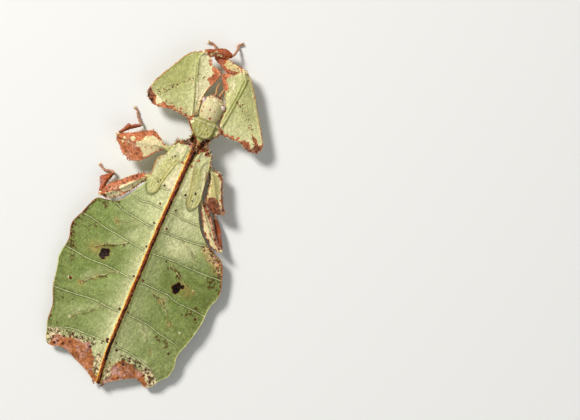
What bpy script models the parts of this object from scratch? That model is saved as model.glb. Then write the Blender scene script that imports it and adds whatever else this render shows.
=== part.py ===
"""A leaf insect, a nearly grown female with wing pads, modelled at life size.

She lies as she would on a level surface: on the flat of her belly and on her six feet.
All sizes are in millimetres. X runs to her right, Y forward and Z up, and the waist
between prothorax and mesothorax is at X 0, Y 0 until the whole insect is centred.
"""

import math
import random

import bmesh
import bpy
from mathutils import Vector

MM = 0.001

# Space between nodes that touch, and how far a neighbour is grown to keep it.
GAP = 0.3
CLEARANCE = 0.4

# The body, seen from the side.
LAMELLA = 0.7
LAMELLA_TIP = 0.6
KEEL_HEIGHT = 0.45
SUTURE_HEIGHT = 0.12
BELLY_HALF_WIDTH = 8.5
BELLY_DEPTH = 7.2
THORAX_DEPTH = 4.6
THORAX_RIM = 1.3
ROOF_SLOPE = 0.15
REAR_ROOF_SLOPE = 0.04
ROOF_ROUNDING = 1.5

# The height of the back along the middle, front to rear, as (y, z).
CREST = [(6.0, 6.3), (0.0, 6.5), (-7.0, 7.0), (-17.0, 6.7), (-30.0, 6.6),
         (-45.0, 6.2), (-60.0, 5.0), (-70.0, 3.7), (-78.0, 2.3)]

# Legs.
FEMUR_RIB = 1.9
FEMUR_EDGE = 0.6
TIBIA_RIB = 1.1
TIBIA_EDGE = 0.6
RIB_RIDGE = 0.2
COXA_RADIUS = 1.05
TARSUS_RADIUS = 0.42
TARSOMERES = 5
CLAW_RADIUS = 0.26

# Small teeth along the outer edges of the lobes.
TOOTH_LENGTH = 0.6
TOOTH_RADIUS = 0.28
TOOTH_DEPTH = 0.12
TOOTH_PITCH = 1.35
TOOTH_LEAN = 0.3
TOOTH_STEPS = 8
TOOTH_SEED = 5

# Wing pads.
PAD_THICKNESS = 0.6
PAD_VEIN = 0.18

# Spines on the front of the mesothorax.
SPINE_LENGTH = 0.9
SPINE_RADIUS = 0.34
SPINE_SIDES = 5
SPINE_SEED = 7

COLOURS = {
    "leaf_green": ((0.30, 0.40, 0.13), 0.55),
    "pad_green": ((0.42, 0.50, 0.16), 0.5),
    "pale_green": ((0.52, 0.58, 0.33), 0.5),
    "rust_brown": ((0.33, 0.12, 0.06), 0.6),
    "antenna_orange": ((0.50, 0.23, 0.08), 0.5),
    "eye_pink": ((0.62, 0.45, 0.36), 0.25),
}


def clear_scene():
    """Start from an empty scene."""
    for item in list(bpy.data.objects):
        bpy.data.objects.remove(item)


def paint(name):
    """The named material, made once."""
    found = bpy.data.materials.get(name)
    if found:
        return found
    colour, roughness = COLOURS[name]
    found = bpy.data.materials.new(name)
    found.use_nodes = True
    shader = found.node_tree.nodes["Principled BSDF"]
    shader.inputs["Base Color"].default_value = (*colour, 1.0)
    shader.inputs["Roughness"].default_value = roughness
    shader.inputs["Metallic"].default_value = 0.0
    return found


def between(table, at):
    """Read a value from a table of (place, value) pairs that falls in its place."""
    if at >= table[0][0]:
        return table[0][1]
    for (high, first), (low, second) in zip(table, table[1:]):
        if at >= low:
            return first + (second - first) * (high - at) / (high - low)
    return table[-1][1]


def smooth(points, steps):
    """Points of a curve that passes through every given point."""
    ends = [points[0], *points, points[-1]]
    line = []
    for place in range(1, len(ends) - 2):
        a, b, c, d = (Vector(ends[place + shift]) for shift in (-1, 0, 1, 2))
        for step in range(steps):
            t = step / steps
            line.append(0.5 * (2 * b + (c - a) * t + (2 * a - 5 * b + 4 * c - d) * t * t
                               + (3 * b - a - 3 * c + d) * t * t * t))
    line.append(Vector(points[-1]))
    return line


def solid(name, corners, faces, colour):
    """One closed object from corners in millimetres, its faces pointing out."""
    mesh = bpy.data.meshes.new(name)
    work = bmesh.new()
    verts = [work.verts.new(Vector(corner) * MM) for corner in corners]
    for face in faces:
        work.faces.new([verts[index] for index in face])
    bmesh.ops.triangulate(work, faces=work.faces[:])
    bmesh.ops.recalc_face_normals(work, faces=work.faces[:])
    if work.calc_volume(signed=True) < 0:
        bmesh.ops.reverse_faces(work, faces=work.faces[:])
    work.to_mesh(mesh)
    work.free()
    mesh.materials.append(paint(colour))
    item = bpy.data.objects.new(name, mesh)
    bpy.context.scene.collection.objects.link(item)
    return item


def plate(name, rows, colour):
    """A closed plate from rows of (x, y, top, bottom), split alike on both faces."""
    across = len(rows[0])
    count = len(rows) * across
    corners = [(x, y, top) for row in rows for x, y, top, bottom in row]
    corners += [(x, y, bottom) for row in rows for x, y, top, bottom in row]
    faces = []
    for line in range(len(rows) - 1):
        for column in range(across - 1):
            a = line * across + column
            b, c, d = a + 1, a + across + 1, a + across
            for corner_1, corner_2, corner_3 in ((a, b, c), (a, c, d)):
                faces.append((corner_1, corner_2, corner_3))
                faces.append((corner_3 + count, corner_2 + count, corner_1 + count))
    rim = list(range(across))
    rim += [line * across + across - 1 for line in range(1, len(rows))]
    rim += [(len(rows) - 1) * across + column for column in range(across - 2, -1, -1)]
    rim += [line * across for line in range(len(rows) - 2, 0, -1)]
    for first, second in zip(rim, rim[1:] + rim[:1]):
        faces.append((second, first, first + count))
        faces.append((second, first + count, second + count))
    return solid(name, corners, faces, colour)


def leaf(name, left, rib, right, surface, colour, steps=2, bend=None, shift=None,
         sides=(-1, -0.65, -0.3, -0.08, 0, 0.08, 0.3, 0.65, 1)):
    """A plate between two edges with a rib between them, all read from root to tip.

    surface gives the top and bottom height at a side (-1 to 1), a way along (0 to 1), x and y.
    bend gives the curve of the rows at a way along, where 1 is straight.
    shift gives how far a point moves along Y at a way along and an x.
    """
    lines = list(zip(*(smooth(points, steps) for points in (left, rib, right))))
    rows = []
    for index, (left_end, middle, right_end) in enumerate(lines):
        along = index / (len(lines) - 1)
        power = bend(along) if bend else 1
        row = []
        for side in sides:
            edge = left_end if side < 0 else right_end
            x = middle.x + (edge.x - middle.x) * abs(side)
            y = middle.y + (edge.y - middle.y) * abs(side) ** power
            if shift:
                y += shift(along, x)
            row.append((x, y, *surface(side, along, x, y)))
        rows.append(row)
    return plate(name, rows, colour)


def blade(root, tip, rib, edge, droop=0.0, ridge=RIB_RIDGE):
    """The surface of a flat lobe that rises from root to tip and thins towards its edges."""
    def surface(side, along, x, y):
        level = root + (tip - root) * along - droop * side * side
        half = (edge + (rib - edge) * (1 - abs(side)) ** 2) / 2
        return level + half + (ridge if side == 0 else 0), max(level - half, 0)
    return surface


def tube(name, path, radii, colour, sides=8, squash=1.0, steps=3):
    """A closed round tube along a smooth path, flattened where it would pass the floor."""
    line = smooth([(*point, radius) for point, radius in zip(path, radii)], steps)
    corners = []
    for index, point in enumerate(line):
        ahead = line[min(index + 1, len(line) - 1)].to_3d()
        behind = line[max(index - 1, 0)].to_3d()
        way = (ahead - behind).normalized()
        flank = way.cross(Vector((0, 0, 1))).normalized()
        up = flank.cross(way)
        for turn in range(sides):
            angle = math.tau * (turn + 0.5) / sides
            reach = flank * math.cos(angle) + up * math.sin(angle) * squash
            corner = point.to_3d() + reach * point[3]
            corner.z = max(corner.z, 0)
            corners.append(corner)
    faces = [tuple(range(sides)), tuple(range(len(corners) - sides, len(corners)))]
    for ring in range(len(line) - 1):
        for turn in range(sides):
            a = ring * sides + turn
            b = ring * sides + (turn + 1) % sides
            faces.append((a, b, b + sides, a + sides))
    return solid(name, corners, faces, colour)


def ball(name, centre, radii, colour, segments=14, rings=9):
    """An ellipsoid."""
    work = bmesh.new()
    bmesh.ops.create_uvsphere(work, u_segments=segments, v_segments=rings, radius=1)
    work.verts.index_update()
    corners = [[middle + part * radius for middle, part, radius in zip(centre, vert.co, radii)]
               for vert in work.verts]
    faces = [[vert.index for vert in face.verts] for face in work.faces]
    work.free()
    return solid(name, corners, faces, colour)


def spike(name, root, tip, radius, colour, sides=SPINE_SIDES):
    """A pointed spine with a flat root."""
    root, tip = Vector(root), Vector(tip)
    way = (tip - root).normalized()
    flank = way.orthogonal().normalized()
    other = way.cross(flank)
    corners = [root + (flank * math.cos(math.tau * turn / sides)
                       + other * math.sin(math.tau * turn / sides)) * radius
               for turn in range(sides)]
    corners.append(tip)
    faces = [tuple(range(sides))]
    faces += [(turn, (turn + 1) % sides, sides) for turn in range(sides)]
    return solid(name, corners, faces, colour)


def keep_largest(mesh):
    """Drop every loose scrap and sealed hollow, and leave plain triangles."""
    work = bmesh.new()
    work.from_mesh(mesh)
    left = set(work.faces)
    shells = []
    while left:
        shell = set()
        edge_of_shell = [left.pop()]
        while edge_of_shell:
            face = edge_of_shell.pop()
            shell.add(face)
            near = {other for edge in face.edges for other in edge.link_faces} & left
            left -= near
            edge_of_shell.extend(near)
        shells.append(shell)
    shells.sort(key=lambda shell: sum(face.calc_area() for face in shell))
    scraps = [face for shell in shells[:-1] for face in shell]
    bmesh.ops.delete(work, geom=scraps, context="FACES")
    loose = [vert for vert in work.verts if not vert.link_faces]
    bmesh.ops.delete(work, geom=loose, context="VERTS")
    bmesh.ops.triangulate(work, faces=work.faces[:])
    work.to_mesh(mesh)
    work.free()


def apply_modifiers(item):
    """Replace an object's mesh with the one that its modifiers make."""
    graph = bpy.context.evaluated_depsgraph_get()
    mesh = bpy.data.meshes.new_from_object(item.evaluated_get(graph))
    item.modifiers.clear()
    item.data = mesh
    mesh.name = item.name
    keep_largest(mesh)


def fuse(item, pieces):
    """Join closed pieces to an object with one union."""
    group = bpy.data.collections.new("pieces")
    bpy.context.scene.collection.children.link(group)
    for piece in pieces:
        bpy.context.scene.collection.objects.unlink(piece)
        group.objects.link(piece)
    union = item.modifiers.new("pieces", "BOOLEAN")
    union.operation = "UNION"
    union.operand_type = "COLLECTION"
    union.collection = group
    union.solver = "EXACT"
    apply_modifiers(item)
    for piece in pieces:
        bpy.data.objects.remove(piece)
    bpy.data.collections.remove(group)
    return item


def make_room(item, neighbour, clearance=CLEARANCE):
    """Cut an object back so that it only meets its neighbour, face to face."""
    cutter = neighbour.copy()
    cutter.data = neighbour.data.copy()
    bpy.context.scene.collection.objects.link(cutter)
    normals = [vert.normal.copy() for vert in cutter.data.vertices]
    for vert, normal in zip(cutter.data.vertices, normals):
        vert.co += normal * clearance * MM
    whole = item.data
    for solver in ("EXACT", "MANIFOLD"):
        item.data = whole
        cut = item.modifiers.new("room", "BOOLEAN")
        cut.operation = "DIFFERENCE"
        cut.object = cutter
        cut.solver = solver
        apply_modifiers(item)
        if item.data.polygons:
            break
    bpy.data.objects.remove(cutter)


# The body.

def roof(x, y, middle):
    """Height of the back, which falls gently from the keel to both sides."""
    slope = between([(-45.0, ROOF_SLOPE), (-76.0, REAR_ROOF_SLOPE)], y)
    away = math.hypot(x - middle, ROOF_ROUNDING) - ROOF_ROUNDING
    return between(CREST, y) - slope * away


HEAD_X = 0.6
HEAD_RINGS = [
    # y, half width, top, bottom
    (6.35, 1.9, 5.6, 3.4),
    (6.7, 2.5, 6.2, 2.9),
    (8.2, 3.05, 6.9, 2.5),
    (10.0, 3.25, 7.1, 2.4),
    (11.6, 3.15, 6.8, 2.4),
    (12.7, 2.6, 6.1, 2.7),
    (13.4, 1.8, 5.5, 3.2),
    (13.7, 1.0, 5.0, 3.8),
]
HEAD_SIDES = 18
EYES = {"eye_left": (-2.2, 11.6, 5.1), "eye_right": (3.4, 11.4, 5.1)}
EYE_RADII = (0.9, 1.1, 0.95)
ANTENNAE = {
    "antenna_left": [(0.0, 13.95, 4.7), (0.15, 14.7, 4.9), (-0.25, 16.2, 5.2), (-0.1, 17.7, 5.4)],
    "antenna_right": [(1.25, 13.95, 4.7), (1.4, 14.7, 4.9), (1.7, 15.5, 5.1), (1.95, 16.4, 5.3)],
}
ANTENNA_RADII = (0.42, 0.38, 0.32, 0.27)


def make_head():
    """The head capsule with its eyes, antennae and mouthparts."""
    corners = []
    for y, half_width, top, bottom in smooth(HEAD_RINGS, 2):
        for turn in range(HEAD_SIDES):
            angle = math.tau * turn / HEAD_SIDES
            rise = (top - bottom) / 2
            corners.append((HEAD_X + half_width * math.cos(angle), y,
                            (top + bottom) / 2 + rise * math.sin(angle)))
    rings = len(corners) // HEAD_SIDES
    faces = [tuple(range(HEAD_SIDES)), tuple(range(len(corners) - HEAD_SIDES, len(corners)))]
    for ring in range(rings - 1):
        for turn in range(HEAD_SIDES):
            a = ring * HEAD_SIDES + turn
            b = ring * HEAD_SIDES + (turn + 1) % HEAD_SIDES
            faces.append((a, b, b + HEAD_SIDES, a + HEAD_SIDES))
    head = solid("head", corners, faces, "pale_green")
    for name, centre in EYES.items():
        make_room(head, ball(name, centre, EYE_RADII, "eye_pink"))
    for name, path in ANTENNAE.items():
        make_room(tube(name, path, ANTENNA_RADII, "antenna_orange", sides=7), head)
    mouth = ball("mouthparts", (HEAD_X, 12.3, 2.5), (1.7, 1.1, 0.8), "pale_green", 12, 7)
    palps = []
    for way in (-1, 1):
        path = [(HEAD_X + way * 0.9, 12.6, 2.2), (HEAD_X + way * 1.3, 13.2, 1.7),
                (HEAD_X + way * 1.1, 13.6, 1.3)]
        palps.append(tube("palp", path, (0.4, 0.34, 0.28), "pale_green", sides=6))
    make_room(fuse(mouth, palps), head)


def thorax_surface(middle, depth=THORAX_DEPTH, rim=THORAX_RIM, arch=0.0):
    """Top and bottom of a body ring that is deep in the middle and thin at its sides."""
    def surface(side, along, x, y):
        top = roof(x, y, middle) + arch * (1 - side * side)
        return top, top - rim - depth * (1 - side * side) ** 1.5
    return surface


def make_prothorax():
    """The shield behind the head, which narrows to the waist."""
    left = [(-4.2, 4.7), (-3.5, 3.7), (-2.6, 2.6), (-1.5, 1.6), (-0.2, 0.9)]
    middle = [(0.7, 5.8), (0.8, 4.5), (0.9, 3.2), (1.0, 1.9), (1.1, 0.6)]
    right = [(5.4, 4.3), (4.9, 3.3), (4.2, 2.4), (3.4, 1.6), (2.3, 0.9)]
    return leaf("prothorax", left, middle, right,
                thorax_surface(0.9, depth=2.6, rim=1.1, arch=0.5), "pad_green")


def spines_of_mesothorax():
    """Short spines on the front margins and the collar, varied in length and lean."""
    draw = random.Random(SPINE_SEED)
    rows = [
        # first root, last root, lean, count
        ((-1.9, -0.9), (-5.0, -2.6), (-0.35, 1.0, 0.15), 6),
        ((-5.2, -2.7), (-5.4, -4.3), (-1.0, 0.25, 0.1), 3),
        ((3.3, -1.1), (5.2, -2.9), (0.35, 1.0, 0.15), 5),
        ((5.3, -3.0), (6.0, -4.9), (1.0, 0.25, 0.1), 3),
        ((0.6, -0.4), (0.5, -5.2), (0.0, 0.2, 1.0), 5),
    ]
    spines = []
    for first, last, lean, count in rows:
        for place in range(count):
            root = Vector(first).lerp(Vector(last), place / (count - 1)).to_3d()
            root.z = roof(root.x, root.y, 0.5) - THORAX_RIM / 2
            if lean[2] == 1.0:
                root.z = roof(root.x, root.y, 0.5) - SPINE_RADIUS
            way = Vector(lean) + Vector([draw.uniform(-0.2, 0.2) for _ in range(3)])
            length = SPINE_LENGTH * draw.uniform(0.8, 1.15)
            inner = root - way.normalized() * SPINE_RADIUS
            tip = root + way.normalized() * length
            spines.append(spike("spine", inner, tip, SPINE_RADIUS, "rust_brown"))
    return spines


def make_mesothorax():
    """The ring behind the waist, with a narrow spiny collar in front."""
    left = [(-1.7, 0.2), (-1.9, -0.8), (-3.6, -1.7), (-5.2, -2.6), (-5.5, -3.9), (-6.3, -5.2),
            (-6.6, -7.0)]
    middle = [(0.8, 0.2), (0.7, -1.0), (0.6, -2.2), (0.5, -3.4), (0.5, -4.6), (0.4, -5.8),
              (0.3, -7.0)]
    right = [(3.2, 0.2), (3.3, -0.9), (4.5, -2.1), (5.4, -3.0), (5.7, -4.2), (6.2, -5.6),
             (6.8, -7.0)]
    ring = leaf("mesothorax", left, middle, right, thorax_surface(0.5, arch=0.4), "pad_green")
    return fuse(ring, spines_of_mesothorax())


def make_metathorax():
    """The ring below the wing pads, which carries the hind legs."""
    left = [(-7.2, -7.35), (-8.6, -9.5), (-8.9, -12.0), (-9.0, -14.5), (-9.3, -17.0)]
    middle = [(0.3, -7.35), (0.2, -9.5), (0.1, -12.0), (0.0, -14.5), (-0.1, -17.0)]
    right = [(6.8, -7.35), (6.9, -9.5), (7.3, -12.0), (7.5, -14.5), (7.4, -17.0)]
    return leaf("metathorax", left, middle, right, thorax_surface(0.1), "leaf_green")


# The abdomen, read from front to rear.
ABDOMEN_LEFT = [(-9.4, -17.3), (-10.9, -19.8), (-12.5, -22.6), (-15.0, -25.1), (-18.0, -25.8),
                (-20.8, -26.4), (-22.2, -28.8), (-23.4, -32.0), (-25.0, -36.0), (-24.1, -40.6),
                (-24.9, -45.5), (-24.2, -49.5), (-23.2, -55.0), (-21.4, -60.0), (-21.0, -64.8),
                (-20.3, -67.2), (-19.7, -69.3), (-18.6, -70.7)]
ABDOMEN_RIGHT = [(7.4, -17.3), (8.7, -20.1), (10.2, -23.0), (12.0, -25.3), (14.4, -27.3),
                 (17.2, -28.8), (20.0, -30.4), (21.8, -34.5), (23.0, -39.5), (21.6, -44.0),
                 (21.3, -48.5), (20.6, -52.5), (19.5, -56.5), (18.2, -60.5), (18.6, -64.2),
                 (17.9, -67.2), (15.9, -69.4), (14.9, -71.9)]
KEEL = [(-0.1, -17.3), (-0.2, -20.0), (-0.3, -22.6), (-0.4, -25.2), (-0.5, -27.8),
        (-0.5, -30.2), (-0.6, -32.6), (-0.6, -35.1), (-0.6, -39.6), (-0.7, -44.1),
        (-0.8, -47.6), (-0.8, -51.1), (-0.9, -54.7), (-1.0, -59.6), (-1.0, -64.6),
        (-0.9, -68.5), (-0.6, -72.5), (-0.3, -76.6)]
SUTURES = (-22.6, -27.8, -35.1, -44.1, -54.7, -64.6, -70.5)
SUTURE_HALF_WIDTH = 1.0
ROW_BEND = 1.8
REAR_BEND = 0.75
REAR_START = 0.82
REAR_ROWS = 0.82
REAR_SWEEP = 1.5

# The rear margin, right to left: two hollow curves between the side corners and the tip.
REAR_EDGE = [(15.0, -71.0), (13.8, -72.4), (12.4, -72.6), (10.8, -71.7), (9.2, -71.3),
             (7.4, -71.9), (4.0, -74.0), (1.0, -76.1), (-0.3, -76.6), (-1.6, -76.2),
             (-4.6, -74.6), (-8.0, -73.0), (-11.8, -71.2), (-13.6, -70.7), (-15.0, -70.8),
             (-16.4, -71.3), (-18.0, -71.5), (-19.0, -70.9)]


def row_bend(along):
    """The rings' joints arch forward to the sides, and the rear edge runs to a point."""
    rear = max(0.0, (along - REAR_START) / (1 - REAR_START))
    return ROW_BEND + (REAR_BEND - ROW_BEND) * rear


def rear_shift(along, x):
    """How far the last rows move along Y to follow the rear margin."""
    tip = KEEL[-1]
    end = ABDOMEN_LEFT[-1] if x < tip[0] else ABDOMEN_RIGHT[-1]
    side = min(1.0, (x - tip[0]) / (end[0] - tip[0]))
    straight = tip[1] + (end[1] - tip[1]) * side ** REAR_BEND
    late = max(0.0, (along - REAR_ROWS) / (1 - REAR_ROWS))
    return (between(REAR_EDGE, x) - straight) * late ** REAR_SWEEP


def abdomen_surface(side, along, x, y):
    """A thick belly in the middle of two thin leaf-like sides, with a keel on top."""
    keel_x = between([(place, x_of) for x_of, place in KEEL], y)
    middle_y = between([(index / (len(KEEL) - 1) * -1, y_of)
                        for index, (x_of, y_of) in enumerate(KEEL)], -along)
    top = roof(x, y, keel_x)
    if any(abs(middle_y - place) < SUTURE_HALF_WIDTH for place in SUTURES):
        top += SUTURE_HEIGHT
    skin = LAMELLA + (LAMELLA_TIP - LAMELLA) * abs(side)
    near = max(0.0, 1 - (abs(x - keel_x) / BELLY_HALF_WIDTH) ** 2)
    end = min(1.0, 0.62 + along * 3, (1 - along) * 2.4 + 0.12)
    bottom = max(0.0, top - skin - BELLY_DEPTH * end * near ** 1.5)
    if side == 0:
        top += KEEL_HEIGHT
    return top, bottom


def make_abdomen():
    """The broad leaf-shaped abdomen, one plate with its keel and joints raised on it."""
    inner = (0.03, 0.1, 0.2, 0.3, 0.42, 0.56, 0.7, 0.85, 1)
    sides = [-side for side in reversed(inner)] + [0] + list(inner)
    abdomen = leaf("abdomen", ABDOMEN_LEFT, KEEL, ABDOMEN_RIGHT, abdomen_surface, "leaf_green",
                   steps=2, bend=row_bend, shift=rear_shift, sides=sides)
    for name, way in (("cercus_left", -1), ("cercus_right", 1)):
        middle = -0.5
        path = [(middle + way * 1.5, -75.6, 1.9), (middle + way * 1.5, -76.6, 1.8),
                (middle + way * 0.8, -77.3, 1.7)]
        make_room(tube(name, path, (0.4, 0.42, 0.28), "rust_brown", sides=6, squash=0.8), abdomen)
    return abdomen


def make_wing_pad(name, inner, outer, body):
    """A short flat wing pad that lies along the back, with raised veins."""
    rib = [((a[0] + b[0]) / 2, (a[1] + b[1]) / 2) for a, b in zip(inner, outer)]
    veins = (-1, -0.45, 0.0, 0.45, 1)

    def surface(side, along, x, y):
        rest = roof(x, y, 0.1) + GAP + 0.1
        return rest + PAD_THICKNESS + (PAD_VEIN if side in veins else 0), rest

    left, right = (outer, inner) if "left" in name else (inner, outer)
    pad = leaf(name, left, rib, right, surface, "pad_green",
               sides=(-1, -0.85, -0.6, -0.45, -0.3, -0.12, 0.0, 0.12, 0.3, 0.45, 0.6, 0.85, 1))
    for node in body:
        make_room(pad, node)
    return pad


PADS = {
    "wing_pad_left": (
        [(-1.4, -7.4), (-2.3, -9.0), (-3.2, -11.5), (-4.1, -14.2), (-5.1, -17.0), (-6.4, -19.1)],
        [(-7.0, -7.4), (-8.2, -9.2), (-8.7, -12.0), (-8.8, -14.8), (-8.4, -17.6), (-7.2, -19.3)]),
    "wing_pad_right": (
        [(1.9, -7.4), (2.1, -9.0), (2.5, -12.0), (3.2, -15.0), (4.1, -18.2), (5.0, -20.5)],
        [(6.5, -7.4), (6.8, -9.4), (7.3, -12.2), (7.6, -15.2), (7.0, -18.4), (6.0, -20.7)]),
}


# The legs. Each has its coxa, a femur and a tibia as (one edge, rib, other edge), and a tarsus.

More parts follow.
